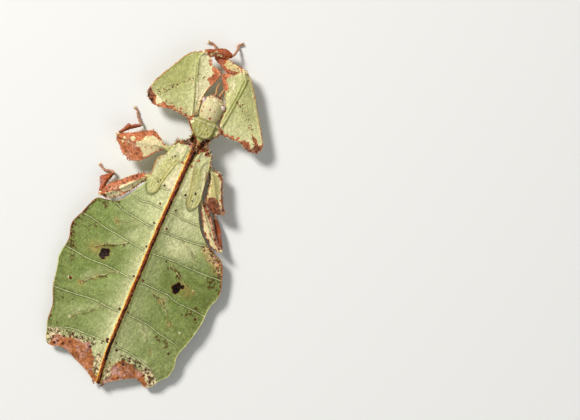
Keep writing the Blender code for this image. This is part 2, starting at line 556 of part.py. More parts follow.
LEGS = {
    "fore_left": {
        "coxa": [(-1.7, 1.7, 2.2), (-2.9, 3.4, 2.8), (-4.0, 5.3, 3.8)],
        "femur": ([(-4.9, 4.9), (-9.5, 5.4), (-13.8, 4.9), (-17.2, 6.0), (-18.5, 8.6),
                   (-16.8, 13.6), (-14.2, 18.4), (-12.2, 21.8), (-10.6, 23.3), (-9.4, 24.1),
                   (-8.4, 24.4)],
                  [(-4.2, 6.2), (-4.5, 7.6), (-5.0, 9.6), (-5.5, 11.4), (-6.1, 13.4),
                   (-6.8, 16.0), (-7.3, 18.2), (-7.8, 20.2), (-8.1, 21.6), (-8.2, 22.8),
                   (-7.4, 24.4)],
                  [(-3.3, 6.9), (-3.5, 8.2), (-3.6, 10.0), (-3.3, 12.0), (-2.8, 14.0),
                   (-2.1, 16.2), (-0.8, 19.2), (-2.0, 21.4), (-4.4, 21.4), (-4.8, 23.0),
                   (-6.2, 24.6)]),
        "femur_heights": (4.8, 5.2),
        "teeth": 10,
        "tibia": ([(-7.6, 25.3), (-6.2, 26.1), (-4.7, 26.6), (-3.4, 27.4), (-2.0, 27.7),
                   (-0.7, 27.3), (0.3, 26.9)],
                  [(-7.0, 25.0), (-5.9, 25.4), (-4.6, 25.7), (-3.2, 26.0), (-1.9, 26.2),
                   (-0.7, 26.3), (0.5, 26.5)],
                  [(-6.4, 24.8), (-5.5, 24.5), (-4.5, 24.8), (-3.2, 25.3), (-1.8, 25.4),
                   (-0.7, 25.5), (0.5, 26.1)]),
        "tibia_heights": (5.2, 3.4),
        "tarsus": [(0.6, 26.8, 3.3), (0.8, 28.2, 2.0), (0.9, 29.3, 1.0), (0.5, 30.2, 0.5),
                   (1.6, 31.0, 0.4)],
        "body": "prothorax",
    },
    "fore_right": {
        "coxa": [(2.9, 1.7, 2.2), (4.1, 3.3, 2.8), (5.1, 5.0, 3.8)],
        "femur": ([(5.5, 4.3), (8.5, 4.0), (11.5, 4.1), (14.5, 2.9), (17.4, 3.1), (18.2, 5.4),
                   (16.6, 8.8), (13.8, 13.2), (11.2, 17.6), (8.7, 21.3), (6.2, 23.6)],
                  [(5.1, 6.0), (5.4, 7.6), (5.7, 9.4), (5.9, 11.2), (6.1, 13.0), (6.3, 14.8),
                   (6.5, 16.4), (6.7, 18.0), (6.9, 19.6), (7.0, 21.2), (5.2, 23.9)],
                  [(4.6, 6.7), (4.6, 8.2), (4.7, 10.0), (4.3, 11.8), (3.4, 13.6), (2.4, 15.4),
                   (1.2, 17.0), (-0.1, 19.6), (1.2, 20.9), (3.2, 20.9), (4.3, 22.8)]),
        "femur_heights": (4.8, 5.2),
        "teeth": 10,
        "tibia": ([(4.2, 24.1), (2.6, 24.4), (0.8, 24.9), (-0.7, 25.2), (-2.0, 25.3),
                   (-3.3, 25.2), (-4.3, 24.8)],
                  [(4.3, 23.4), (2.6, 23.4), (0.9, 23.5), (-0.6, 23.8), (-1.9, 24.1),
                   (-3.2, 24.3), (-4.4, 24.5)],
                  [(3.8, 22.5), (2.4, 21.9), (0.9, 21.5), (-0.5, 22.0), (-1.9, 22.9),
                   (-3.2, 23.5), (-4.3, 24.0)]),
        "tibia_heights": (4.8, 2.0),
        "tarsus": [(-4.5, 24.9, 1.8), (-5.0, 25.9, 1.2), (-5.2, 27.0, 0.7), (-6.3, 28.0, 0.4),
                   (-7.6, 28.0, 0.4)],
        "body": "prothorax",
    },
    "mid_left": {
        "coxa": [(-4.9, -5.2, 2.4), (-6.5, -5.4, 3.0), (-8.0, -5.5, 3.8)],
        "femur": ([(-8.2, -4.7), (-10.3, -3.1), (-12.2, -2.1), (-14.3, -2.6), (-16.6, -4.0),
                   (-19.0, -5.3), (-21.3, -6.3), (-22.2, -7.2)],
                  [(-8.2, -5.5), (-10.4, -5.6), (-12.4, -5.9), (-14.4, -6.2), (-16.5, -6.6),
                   (-18.6, -7.0), (-20.6, -7.4), (-22.0, -7.7)],
                  [(-8.3, -6.3), (-10.4, -8.2), (-12.2, -10.6), (-14.0, -12.0), (-15.8, -12.6),
                   (-18.4, -11.7), (-20.2, -9.8), (-22.1, -8.3)]),
        "femur_heights": (4.2, 5.4),
        "teeth": 8,
        "tibia": ([(-22.5, -6.8), (-21.5, -4.9), (-20.3, -3.1), (-18.7, -2.4), (-17.4, -1.7)],
                  [(-22.0, -6.4), (-20.9, -5.0), (-19.7, -3.8), (-18.4, -2.8), (-17.0, -2.0)],
                  [(-21.4, -6.2), (-20.2, -5.1), (-19.2, -4.3), (-18.0, -3.3), (-16.8, -2.4)]),
        "tibia_heights": (4.6, 1.6),
        "tarsus": [(-17.2, -1.6, 1.3), (-18.3, -0.6, 0.8), (-19.2, 0.5, 0.5), (-19.6, 1.4, 0.4),
                   (-20.5, 2.0, 0.4)],
        "body": "mesothorax",
    },
    "mid_right": {
        "coxa": [(4.9, -6.0, 2.4), (6.3, -6.5, 3.0), (7.6, -7.0, 3.8)],
        "femur": ([(7.9, -6.6), (9.6, -6.6), (11.0, -7.6), (12.1, -10.1), (13.1, -12.6),
                   (14.2, -14.8), (15.5, -16.6)],
                  [(7.8, -7.2), (8.7, -8.8), (9.5, -10.4), (10.4, -12.0), (11.4, -13.7),
                   (12.6, -15.3), (14.6, -17.2)],
                  [(7.7, -7.9), (8.0, -9.9), (8.4, -12.2), (8.9, -14.6), (9.8, -16.6),
                   (12.0, -17.7), (14.0, -18.0)]),
        "femur_heights": (4.4, 5.6),
        "teeth": 6,
        "tibia": ([(14.8, -16.6), (13.5, -14.8), (12.2, -13.0), (11.3, -11.0)],
                  [(14.3, -17.0), (12.9, -15.3), (11.6, -13.3), (10.6, -11.2)],
                  [(13.8, -17.4), (12.3, -15.8), (11.0, -13.6), (9.9, -11.4)]),
        "tibia_heights": (4.0, 1.5),
        "tarsus": [(10.5, -10.8, 1.2), (10.1, -9.8, 0.8), (9.8, -8.9, 0.5), (9.6, -8.1, 0.4),
                   (9.3, -7.3, 0.4)],
        "body": "mesothorax",
    },
    "hind_left": {
        "coxa": [(-6.6, -14.4, 2.2), (-8.3, -14.8, 2.8), (-9.8, -15.3, 3.6)],
        "femur": ([(-9.8, -14.4), (-12.0, -15.1), (-14.0, -16.9), (-16.0, -18.6), (-18.0, -20.3),
                   (-19.3, -22.0), (-20.0, -23.8)],
                  [(-10.1, -15.4), (-11.8, -17.3), (-13.4, -19.1), (-15.0, -20.8),
                   (-16.6, -22.3), (-18.1, -23.7), (-19.6, -24.7)],
                  [(-9.9, -16.3), (-10.9, -18.2), (-12.4, -20.6), (-14.1, -22.6),
                   (-15.8, -24.0), (-17.4, -24.9), (-18.9, -25.3)]),
        "femur_heights": (4.2, 4.9),
        "teeth": 0,
        "tibia": ([(-20.9, -24.6), (-21.5, -22.6), (-22.4, -20.4), (-20.9, -19.2),
                   (-19.6, -18.2)],
                  [(-20.4, -24.4), (-20.4, -22.6), (-20.3, -20.9), (-19.9, -19.4),
                   (-19.3, -18.0)],
                  [(-20.0, -24.3), (-19.9, -22.6), (-19.7, -21.0), (-19.3, -19.4),
                   (-18.8, -17.8)]),
        "tibia_heights": (4.1, 1.5),
        "tarsus": [(-19.2, -17.6, 1.2), (-20.6, -17.8, 0.7), (-21.8, -18.1, 0.5),
                   (-22.8, -17.9, 0.4), (-23.8, -17.3, 0.4)],
        "body": "metathorax",
    },
    "hind_right": {
        "coxa": [(5.4, -15.4, 2.2), (6.9, -16.0, 2.8), (8.3, -16.8, 3.5)],
        "femur": ([(9.4, -16.9), (11.0, -18.4), (12.6, -20.2), (14.0, -22.1), (15.3, -24.0),
                   (16.8, -25.8), (18.5, -27.2)],
                  [(8.9, -17.2), (10.2, -19.3), (11.5, -21.2), (12.9, -22.9), (14.4, -24.7),
                   (16.1, -26.3), (18.1, -27.6)],
                  [(8.4, -17.4), (9.5, -19.8), (10.9, -22.2), (12.4, -24.2), (14.1, -25.9),
                   (15.9, -27.2), (17.8, -28.0)]),
        "femur_heights": (4.0, 4.8),
        "teeth": 0,
        "tibia": ([(18.8, -26.8), (17.6, -24.6), (16.6, -22.6), (15.3, -20.8), (13.9, -19.3)],
                  [(18.2, -26.6), (17.0, -24.8), (15.8, -23.0), (14.6, -21.2), (13.4, -19.6)],
                  [(17.7, -26.5), (16.4, -25.0), (15.1, -23.3), (14.0, -21.6), (13.0, -19.9)]),
        "tibia_heights": (4.0, 1.5),
        "tarsus": [(13.2, -19.2, 1.2), (12.6, -18.3, 0.7), (12.1, -17.4, 0.5),
                   (11.6, -16.5, 0.4), (11.2, -15.6, 0.4)],
        "body": "metathorax",
    },
}


def make_tarsus(name, path):
    """A foot of short swollen joints, with two claws and a soft pad between them."""
    line = smooth(path, TARSOMERES)
    radii = []
    for index in range(len(line)):
        beat = math.sin(math.pi * TARSOMERES * index / (len(line) - 1))
        radii.append(TARSUS_RADIUS * (0.78 + 0.22 * abs(beat)))
    foot = tube(name, line, radii, "rust_brown", sides=7, steps=1)
    end = Vector(path[-1])
    way = (end - Vector(path[-2])).normalized()
    flank = way.cross(Vector((0, 0, 1))).normalized()
    pieces = []
    for turn in (-1, 1):
        root = end - way * 0.25 + flank * turn * 0.12
        tip = end + way * 0.55 + flank * turn * 0.55 - Vector((0, 0, end.z - 0.08))
        pieces.append(spike("claw", root, tip, CLAW_RADIUS, "rust_brown"))
    return fuse(foot, pieces)


def teeth_of_femur(leg, surface):
    """Small teeth on the first part of a lobe's outer edge, varied in length and lean."""
    draw = random.Random(TOOTH_SEED)
    edge, rib = (smooth(points, TOOTH_STEPS) for points in leg["femur"][:2])
    walked = 0.0
    teeth = []
    for index in range(1, len(edge) - 1):
        walked += (edge[index] - edge[index - 1]).length
        if len(teeth) == leg["teeth"]:
            break
        if walked < TOOTH_PITCH * (len(teeth) + 1):
            continue
        way = edge[index + 1] - edge[index - 1]
        out = Vector((way.y, -way.x)).normalized()
        if out.dot(edge[index] - rib[index]) < 0:
            out.negate()
        out = (out + way.normalized() * draw.uniform(-TOOTH_LEAN, TOOTH_LEAN)).normalized().to_3d()
        x, y = edge[index]
        top, bottom = surface(-1, index / (len(edge) - 1), x, y)
        foot = Vector((x, y, (top + bottom) / 2))
        tip = foot + out * TOOTH_LENGTH * draw.uniform(0.75, 1.1)
        teeth.append(spike("tooth", foot - out * TOOTH_DEPTH, tip, TOOTH_RADIUS, "rust_brown"))
    return teeth


def make_leg(name, leg, body):
    """One leg, from the coxa under the body to the claws."""
    coxa = tube("coxa_" + name, leg["coxa"], (COXA_RADIUS, COXA_RADIUS, 0.8 * COXA_RADIUS),
                "rust_brown", sides=9)
    lobe = blade(*leg["femur_heights"], FEMUR_RIB, FEMUR_EDGE, droop=0.3)
    femur = leaf("femur_" + name, *leg["femur"], lobe, "pad_green")
    if leg["teeth"]:
        fuse(femur, teeth_of_femur(leg, lobe))
    tibia = leaf("tibia_" + name, *leg["tibia"],
                 blade(*leg["tibia_heights"], TIBIA_RIB, TIBIA_EDGE), "rust_brown",
                 sides=(-1, -0.5, -0.15, 0, 0.15, 0.5, 1))
    tarsus = make_tarsus("tarsus_" + name, leg["tarsus"])
    make_room(femur, body)
    make_room(coxa, body)
    make_room(coxa, femur)
    make_room(tibia, femur)
    make_room(tarsus, tibia)


def centre_on_floor():
    """Set the middle of the whole insect at X 0 and Y 0, and the floor at Z 0."""
    items = [item for item in bpy.context.scene.objects if item.type == "MESH"]
    places = [vert.co for item in items for vert in item.data.vertices]
    low = Vector([min(place[axis] for place in places) for axis in range(3)])
    high = Vector([max(place[axis] for place in places) for axis in range(3)])
    shift = Vector(((low.x + high.x) / 2, (low.y + high.y) / 2, low.z))
    for item in items:
        for vert in item.data.vertices:
            vert.co -= shift
        item.data.shade_smooth()
        item.data.set_sharp_from_angle(angle=math.radians(40))


def main():
    """Build every node."""
    clear_scene()
    make_head()
    body = {"prothorax": make_prothorax(), "mesothorax": make_mesothorax(),
            "metathorax": make_metathorax()}
    make_room(body["mesothorax"], body["prothorax"])
    abdomen = make_abdomen()
    for name, (inner, outer) in PADS.items():
        make_wing_pad(name, inner, outer, (body["mesothorax"], abdomen))
    for name, leg in LEGS.items():
        make_leg(name, leg, body[leg["body"]])
    centre_on_floor()


main()
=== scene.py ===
# %% [markdown]
# # A leaf insect, dressed for a museum case
#
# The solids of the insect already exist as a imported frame: head, thorax, abdomen, six legs.
# This lesson gives them their looks. Each cell makes one piece of the real animal, says what
# that piece is, and why it is made the way it is.
#
# Sizes are written in millimetres and turned to metres in one place.

# %% Load the frame
import math
import random

import bpy
import numpy as np
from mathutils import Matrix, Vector, noise


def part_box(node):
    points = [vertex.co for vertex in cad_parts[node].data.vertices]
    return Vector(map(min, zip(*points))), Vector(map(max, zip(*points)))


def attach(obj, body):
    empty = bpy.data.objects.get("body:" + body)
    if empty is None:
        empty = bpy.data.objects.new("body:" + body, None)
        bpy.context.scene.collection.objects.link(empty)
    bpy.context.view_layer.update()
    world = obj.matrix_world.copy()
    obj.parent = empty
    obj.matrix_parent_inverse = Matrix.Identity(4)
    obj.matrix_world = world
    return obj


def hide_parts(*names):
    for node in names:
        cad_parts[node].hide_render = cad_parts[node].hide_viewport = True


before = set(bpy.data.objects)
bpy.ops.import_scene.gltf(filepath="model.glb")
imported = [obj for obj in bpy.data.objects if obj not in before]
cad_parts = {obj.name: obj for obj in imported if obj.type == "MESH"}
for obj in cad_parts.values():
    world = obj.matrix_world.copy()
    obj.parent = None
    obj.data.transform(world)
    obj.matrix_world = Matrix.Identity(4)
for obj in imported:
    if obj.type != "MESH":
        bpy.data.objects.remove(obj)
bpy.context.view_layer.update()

MM = 0.001
print("nodes in the frame:", len(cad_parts))

# %% [markdown]
# ## Where the insect's own axes are
#
# It is easier to think from the waist, the narrow place between the first two thorax rings:
# X to her right, Y towards her head. The frame is centred on the whole insect instead, so the
# distance between the two is read from the abdomen's box. Its front edge is 17.3 mm behind
# the waist, and its left side reaches 25.05 mm out.

# %% The waist
ABDOMEN_FRONT = -17.3
ABDOMEN_LEFT_REACH = -25.05

abdomen_low, abdomen_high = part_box("abdomen")
WAIST = np.array([abdomen_low[0] / MM - ABDOMEN_LEFT_REACH,
                  abdomen_high[1] / MM - ABDOMEN_FRONT, 0.0])


def to_frame(points):
    """Millimetres from the waist, as metres in the frame."""
    return (np.asarray(points, dtype=float) + WAIST) * MM


print("waist at", np.round(WAIST, 2), "mm from the frame's origin")

# %% [markdown]
# ## The camera
#
# The photograph looks straight down, turned by 22 degrees, with the insect left of the
# middle. The picture is 168 mm wide at the height of the back. A long lens held high keeps
# the flat body free of distortion.

# %% The camera
VIEW_CENTRE = (32.65, -8.72, 5.0)
VIEW_WIDTH = 168.4
VIEW_TURN = 22.007
LENS = 100.0
SENSOR = 36.0

bpy.ops.object.camera_add()
camera = bpy.context.object
camera.name = "camera"
camera.data.lens = LENS
camera.data.sensor_width = SENSOR
camera.data.clip_start = 0.01
camera.data.clip_end = 10.0
camera.location = to_frame(VIEW_CENTRE) + np.array([0, 0, VIEW_WIDTH * LENS / SENSOR * MM])
camera.rotation_euler = (0, 0, math.radians(VIEW_TURN))
bpy.context.scene.camera = camera
print("camera height", round(camera.location.z, 3), "m")

# %% [markdown]
# ## Light and floor
#
# A soft key light comes from the upper left, as in the photograph, so the left side of the
# keel shines and the right side falls into a soft shade. A large weak light opposite and a
# pale sky fill the shadows. The floor is one plain pale sheet.

# %% Light and floor
KEY_PLACE = (-0.76, 0.38, 0.80)
KEY_POWER = 14.5
KEY_SIZE = 0.3
FILL_PLACE = (0.40, -0.25, 0.45)
FILL_POWER = 0.8
FILL_SIZE = 0.5
SKY_STRENGTH = 0.26


def soft_light(name, place, power, size):
    """A square area light that looks at the insect."""
    bpy.ops.object.light_add(type="AREA", location=place)
    lamp = bpy.context.object
    lamp.name = name
    lamp.data.energy = power
    lamp.data.size = size
    lamp.rotation_euler = (-Vector(place)).to_track_quat("-Z", "Y").to_euler()
    return lamp


soft_light("key_light", KEY_PLACE, KEY_POWER, KEY_SIZE)
soft_light("fill_light", FILL_PLACE, FILL_POWER, FILL_SIZE)

world = bpy.data.worlds.new("pale_sky")
world.use_nodes = True
world.node_tree.nodes["Background"].inputs["Color"].default_value = (0.9, 0.94, 1.0, 1.0)
world.node_tree.nodes["Background"].inputs["Strength"].default_value = SKY_STRENGTH
bpy.context.scene.world = world

bpy.ops.mesh.primitive_plane_add(size=4.0, location=(0, 0, -0.0002))
floor = bpy.context.object
floor.name = "floor"
# The plain display transform shows each hex value below as it was picked.
bpy.context.scene.view_settings.view_transform = "Standard"
print("lights and floor are set")

# %% [markdown]
# ## Helpers for materials
#
# Colours are picked as sRGB hex values, the way they look on a screen, and one function turns
# them to the linear values that a shader wants. One small function adds a node, sets it and
# links it. Nearly every marking is a coat of colour over what lies below it, as a painter lays
# it on, so another function lays such coats one after the other.

# %% Colour and node helpers
COLOURS = {"data_type": "RGBA"}
SMOOTH_STEP = {"interpolation_type": "SMOOTHSTEP"}
MULTIPLY = {"operation": "MULTIPLY"}
MULTIPLY_ADD = {"operation": "MULTIPLY_ADD"}
SUBTRACT = {"operation": "SUBTRACT"}


def hex_colour(text):
    """An sRGB hex value as a linear RGBA colour."""
    parts = [int(text[place:place + 2], 16) / 255 for place in (1, 3, 5)]
    linear = [part / 12.92 if part <= 0.04045 else ((part + 0.055) / 1.055) ** 2.4
              for part in parts]
    return (*linear, 1.0)


def add(tree, kind, settings=None, *values, give=None, **links):
    """Add a node, set its properties, and link or set its inputs, in their order or by name.

    It returns the output that give names, or else the first one in use.
    """
    node = tree.nodes.new("ShaderNode" + kind)
    for name, value in (settings or {}).items():
        setattr(node, name, value)
    in_use = [port for port in node.inputs if port.enabled]
    named = [(node.inputs[name], value) for name, value in links.items()]
    for port, value in [*zip(in_use, values), *named]:
        if isinstance(value, bpy.types.NodeSocket):
            tree.links.new(value, port)
        else:
            port.default_value = value
    return node.outputs[give] if give else next(port for port in node.outputs if port.enabled)


def paint(tree, colour, *coats):
    """Lay coats over a colour. Each coat is its colour and the shares that thin it.

    A share in brackets is a value and the range that it is mapped from, and to.
    """
    for coat, *shares in coats:
        share, *others = (add(tree, "MapRange", None, *part) if isinstance(part, tuple) else part
                          for part in shares)
        for other in others:
            share = add(tree, "Math", MULTIPLY, share, other)
        if isinstance(coat, str):
            coat = hex_colour(coat)
        colour = add(tree, "Mix", COLOURS, share, colour, coat)
    return colour


paper = bpy.data.materials.new("matt_white_card")
paper.use_nodes = True
paper.node_tree.nodes["Principled BSDF"].inputs["Base Color"].default_value = hex_colour("#ECEAE4")
paper.node_tree.nodes["Principled BSDF"].inputs["Roughness"].default_value = 0.85
floor.data.materials.append(paper)
print("floor card is painted")

# %% [markdown]
# ## Cuticle
#
# An insect's skin is cuticle: a thin, dry, slightly waxy shell. On a leaf insect it is green
# and faintly see-through, with a fine grain like a leaf's. Rust-brown patches with cream
# rims look like decay. The patches have to follow the body, so each piece carries them as
# point attributes that say how much rust, cream, dark or pale there is. The shader adds what
# is finer than the mesh: it frays each patch's edge with noise and grains the colour.
#
# Cuticle's refractive index is about 1.56. Its roughness is middling, and the fine grain
# scatters most of its shine, so the specular level is low. The skin's real grain is finer
# than the render can show, so its noises and its weave are drawn as coarse as they need.

# %% What the skin carries
# The markings run from 0 to 1. The back also carries distances in millimetres to its fine
# lines, dots and eyespots. The keel's distance is counted in halves of its own width instead,
# negative to the left.
# On the back, the pale layer also carries painted highlights and the line layer painted shade.
LAYERS = ("pale", "line", "cream", "amber", "rust", "dark", "freckle")
BACK_LAYERS = ("keel", "seam", "twig", "rim", "spot", "eye", "burn", "scorch", "keeled")
# Each noise: the size of its features in millimetres, its detail and its roughness.
NOISES = {
    "grain": (0.28, 3.0, 0.5), "speck": (0.9, 4.0, 0.62), "crumb": (0.6, 3.0, 0.6),
    "mottle": (2.8, 5.0, 0.6), "fray": (0.8, 6.0, 0.68),
}
HALF_NOISE = 0.5
NET_SIZE = 0.8
NET_WIDTH = 0.16
NET_SHARE = 0.13
FRECKLE_SIZE = 0.46
BLOTCH_SIZE = 0.78
WEAVE_SIZE = 0.36
WEAVE_DRAW = 4.0
WEAVE_TURN = 0.6
CUTICLE_IOR = 1.56
print(len(LAYERS), "markings and", len(BACK_LAYERS), "layers for the back alone")

# %% Fine lines of the back


def band(tree, value, low, high, soft):
    """1 where a value lies between two others, falling softly to 0 outside."""
    rise = add(tree, "MapRange", SMOOTH_STEP, value, low - soft, low + soft)
    fall = add(tree, "MapRange", SMOOTH_STEP, value, high - soft, high + soft, 1.0, 0.0)
    return add(tree, "Math", MULTIPLY, rise, fall)


def pushed(tree, value, cloud, size, start):
    """A distance that noise pushes to and fro, so that a line runs unevenly."""
    push = add(tree, "Math", MULTIPLY_ADD, cloud, size, start)
    return add(tree, "Math", {"operation": "ADD"}, value, push)


def back_lines(tree, colour, layer, speck, fray):
    """The fine lines of the back, drawn from each point's distance to them."""
    away = add(tree, "Math", {"operation": "ABSOLUTE"}, layer["keel"])
    clear = add(tree, "MapRange", None, away, 1.6, 2.8)
    seam, rim, scorch, shown = (layer[title] for title in ("seam", "rim", "scorch", "keeled"))
    twig = pushed(tree, layer["twig"], fray, 0.3, -0.15)
    keel = pushed(tree, layer["keel"], speck, 0.9, -0.45)

    # Freckles run together into small crooked marks.
    wish = add(tree, "Math", MULTIPLY, layer["freckle"],
               add(tree, "MapRange", None, fray, 0.48, 0.54))
    colour = paint(tree, colour, ("#543A18", (wish, 0.1, 0.8, 0.0, 0.9)))

    # Each joint is a pale thread between two creases, painted dark as the creases' shadow.
    uneven = add(tree, "MapRange", None, fray, 0.35, 0.6, 0.35, 0.9)
    colour = paint(tree, colour, ("#4A5622", band(tree, seam, -0.4, -0.12, 0.07), clear, 0.6),
                   ("#4A5622", band(tree, seam, 0.1, 0.36, 0.07), clear, 0.6),
                   ("#E6E2AC", band(tree, seam, -0.1, 0.08, 0.06), clear, uneven))

    # Side veins are tan threads with brown specks beside them, and end in an ochre smear.
    colour = paint(
        tree, colour,
        ("#B49450", layer["burn"], (fray, 0.4, 0.52), 0.8),
        ("#5A5024", band(tree, twig, 0.2, 0.42, 0.1), (speck, 0.44, 0.54), 0.6),
        ("#D6C48A", add(tree, "MapRange", SMOOTH_STEP, twig, 0.08, 0.22, 1.0, 0.0),
         (speck, 0.4, 0.56, 0.4, 0.95)),
        ("#74461E", (twig, 0.2, 0.8, 1.0, 0.0), (fray, 0.54, 0.6),
         add(tree, "Math", MULTIPLY_ADD, layer["burn"], 0.6, 0.4)))

    # The rim is a thin line, brown where it has burnt and yellow-green elsewhere.
    edge = paint(tree, hex_colour("#C9C77E"), ("#A8582C", scorch))
    colour = paint(tree, colour, (edge, (rim, 0.16, 0.34, 1.0, 0.0)),
                   ("#4A2412", band(tree, rim, 0.34, 0.8, 0.15), scorch, (fray, 0.46, 0.56)))

    # The keel: a brown ridge between bright borders, with painted shade on its right half and a
    # painted orange highlight along its left edge.
    ridge = paint(tree, hex_colour("#5C1F0A"), ("#A04C20", (fray, 0.42, 0.58)),
                  ("#B45E20", band(tree, keel, -1.1, -0.92, 0.12)),
                  ("#C8905C", (speck, 0.56, 0.62, 0.0, 0.45)),
                  ("#120703", band(tree, keel, 0.0, 0.95, 0.2), (fray, 0.66, 0.42, 0.45, 1.0)))
    return paint(tree, colour, ("#F2BC3C", band(tree, keel, -1.5, -1.04, 0.12), shown),
                 ("#B8AC4C", band(tree, keel, 1.0, 1.3, 0.12), shown),
                 (ridge, band(tree, keel, -1.1, 1.0, 0.12), shown))


def eye_marks(tree, colour, layer, speck, fray):
    """Dots and eyespots, torn at their edges, from the distance to them."""
    spot = pushed(tree, layer["spot"], fray, 0.9, -0.45)
    ink = paint(tree, hex_colour("#36180C"), ("#6E2E18", (speck, 0.46, 0.56)))
    eye = pushed(tree, layer["eye"], fray, 1.1, -0.6)
    pupil = paint(tree, hex_colour("#0C0502"), ("#3A1A08", (speck, 0.5, 0.6)))
    return paint(tree, colour, (ink, (spot, -0.05, 0.1, 1.0, 0.0)),
                 ("#9A7A36", (eye, 0.0, 0.55, 0.75, 0.0), 0.8),
                 (pupil, (eye, -0.1, 0.1, 1.0, 0.0)))


print("the back's lines and eyespots can be painted")

# %% The cuticle material


def weave(tree, place):
    """A fine grain like cloth: two noises, each drawn out along its own slant."""
    threads = []
    for turn in (WEAVE_TURN, -WEAVE_TURN):
        slanted = add(tree, "Mapping", {"vector_type": "TEXTURE"}, Vector=place,
                      Rotation=(0.0, 0.0, turn), Scale=(1.0, WEAVE_DRAW, 1.0))
        threads.append(add(tree, "TexNoise", None, Vector=slanted, Scale=1 / (WEAVE_SIZE * MM),
                           Detail=1.0))
    return add(tree, "Math", MULTIPLY, *threads)


def torn(tree, amount, fray, strength, low, high):
    """A patch with its edge frayed by noise."""
    centred = add(tree, "Math", SUBTRACT, fray, HALF_NOISE)
    mixed = add(tree, "Math", MULTIPLY_ADD, centred, strength, amount)
    return add(tree, "MapRange", SMOOTH_STEP, mixed, low, high)


def cuticle(name, green, green_deep, rust="#CA7B49", rust_deep="#6A3724", rust_pale="#C39080",
            cream="#EBDFB4", bloom_and_highlight="#EBDFB4", vein="#85863A", amber="#E0A848", fleck="#6A3A26",
            dark="#140B07", roughness=0.46, bump=0.3, ruled=False):
    """A cuticle with patches that the mesh's attributes place, and ruled lines on the back."""
    material = bpy.data.materials.new(name)
    material.use_nodes = True
    tree = material.node_tree
    shader = tree.nodes["Principled BSDF"]
    place = add(tree, "TexCoord", give="Object")
    layer = {title: add(tree, "Attribute", {"attribute_name": title}, give="Fac")
             for title in (*LAYERS, *(BACK_LAYERS if ruled else ()))}
    grain, speck, crumb, mottle, fray = (
        add(tree, "TexNoise", None, Vector=place, Scale=1 / (size * MM), Detail=detail,
            Roughness=cloud_roughness) for size, detail, cloud_roughness in NOISES.values())
    net = add(tree, "TexVoronoi", {"feature": "DISTANCE_TO_EDGE"}, Vector=place,
              Scale=1 / (NET_SIZE * MM))
    net_line = add(tree, "MapRange", None, net, 0.0, NET_WIDTH, 1.0, 0.0)

    # Dead-leaf brown in three tones.
    brown = paint(tree, hex_colour(rust_deep), (rust, (speck, 0.3, 0.6)),
                  (rust_pale, (mottle, 0.5, 0.62, 0.0, 0.8)),
                  (rust_deep, (mottle, 0.32, 0.48, 0.6, 0.0)))

    # The green ground with its paler bloom, which on the back also lays painted highlights, its
    # fine net of veins, and the patches. On the back the vein colour also lays painted shade.
    colour = paint(tree, hex_colour(green), (green_deep, (mottle, 0.38, 0.62)),
                   (bloom_and_highlight, layer["pale"]), (vein, net_line, NET_SHARE), (vein, layer["line"]),
                   (cream, torn(tree, layer["cream"], fray, 0.9, 0.35, 0.6)),
                   (amber, layer["amber"]),
                   (brown, torn(tree, layer["rust"], fray, 1.1, 0.35, 0.55)))

    # Freckles: small dots in crumbs, and larger ones where the layer asks for many.
    crumbs = add(tree, "MapRange", None, speck, 0.4, 0.58, 0.0, 0.58)
    for size, share, start, edge in ((FRECKLE_SIZE, crumbs, 0.0, 0.16),
                                     (BLOTCH_SIZE, 0.7, -0.46, 0.14)):
        dots = add(tree, "TexVoronoi", None, Vector=place, Scale=1 / (size * MM))
        wish = add(tree, "Math", MULTIPLY_ADD, layer["freckle"], share, start)
        deep = add(tree, "Math", SUBTRACT, wish, dots)
        colour = paint(tree, colour, (fleck, (deep, 0.0, edge)))
    if ruled:
        colour = back_lines(tree, colour, layer, crumb, fray)
        colour = eye_marks(tree, colour, layer, crumb, fray)
    colour = paint(tree, colour, (dark, torn(tree, layer["dark"], fray, 0.5, 0.15, 0.75)))

    # The weave and the grain lighten and darken what lies below them.
    cloth = weave(tree, place)
    for tint in (add(tree, "MapRange", None, cloth, 0.16, 0.36, 1 - 0.55 * bump, 1 + 0.6 * bump),
                 add(tree, "MapRange", None, grain, 0.3, 0.7, 0.86, 1.15)):
        colour = add(tree, "HueSaturation", None, Value=tint, Color=colour)
    tree.links.new(colour, shader.inputs["Base Color"])
    shine = add(tree, "MapRange", None, fray, 0.3, 0.7, roughness - 0.08, roughness + 0.12)
    tree.links.new(shine, shader.inputs["Roughness"])

    # Each relief lies on the one before: its pattern, its strength and its height in millimetres.
    below = {}
    for pattern, strength, height in ((grain, bump, 0.2), (speck, bump, 0.25), (crumb, bump, 0.3),
                                      (net_line, bump, 0.1), (cloth, 1.5 * bump, 0.5)):
        below["Normal"] = add(tree, "Bump", None, Height=pattern, Strength=strength,
                              Distance=height * MM, **below)
    tree.links.new(below["Normal"], shader.inputs["Normal"])
    for title, value in (("IOR", CUTICLE_IOR), ("Specular IOR Level", 0.1),
                         ("Subsurface Weight", 0.1), ("Subsurface Radius", (1.0, 1.0, 0.4)),
                         ("Subsurface Scale", 0.5 * MM)):
        shader.inputs[title].default_value = value
    return material


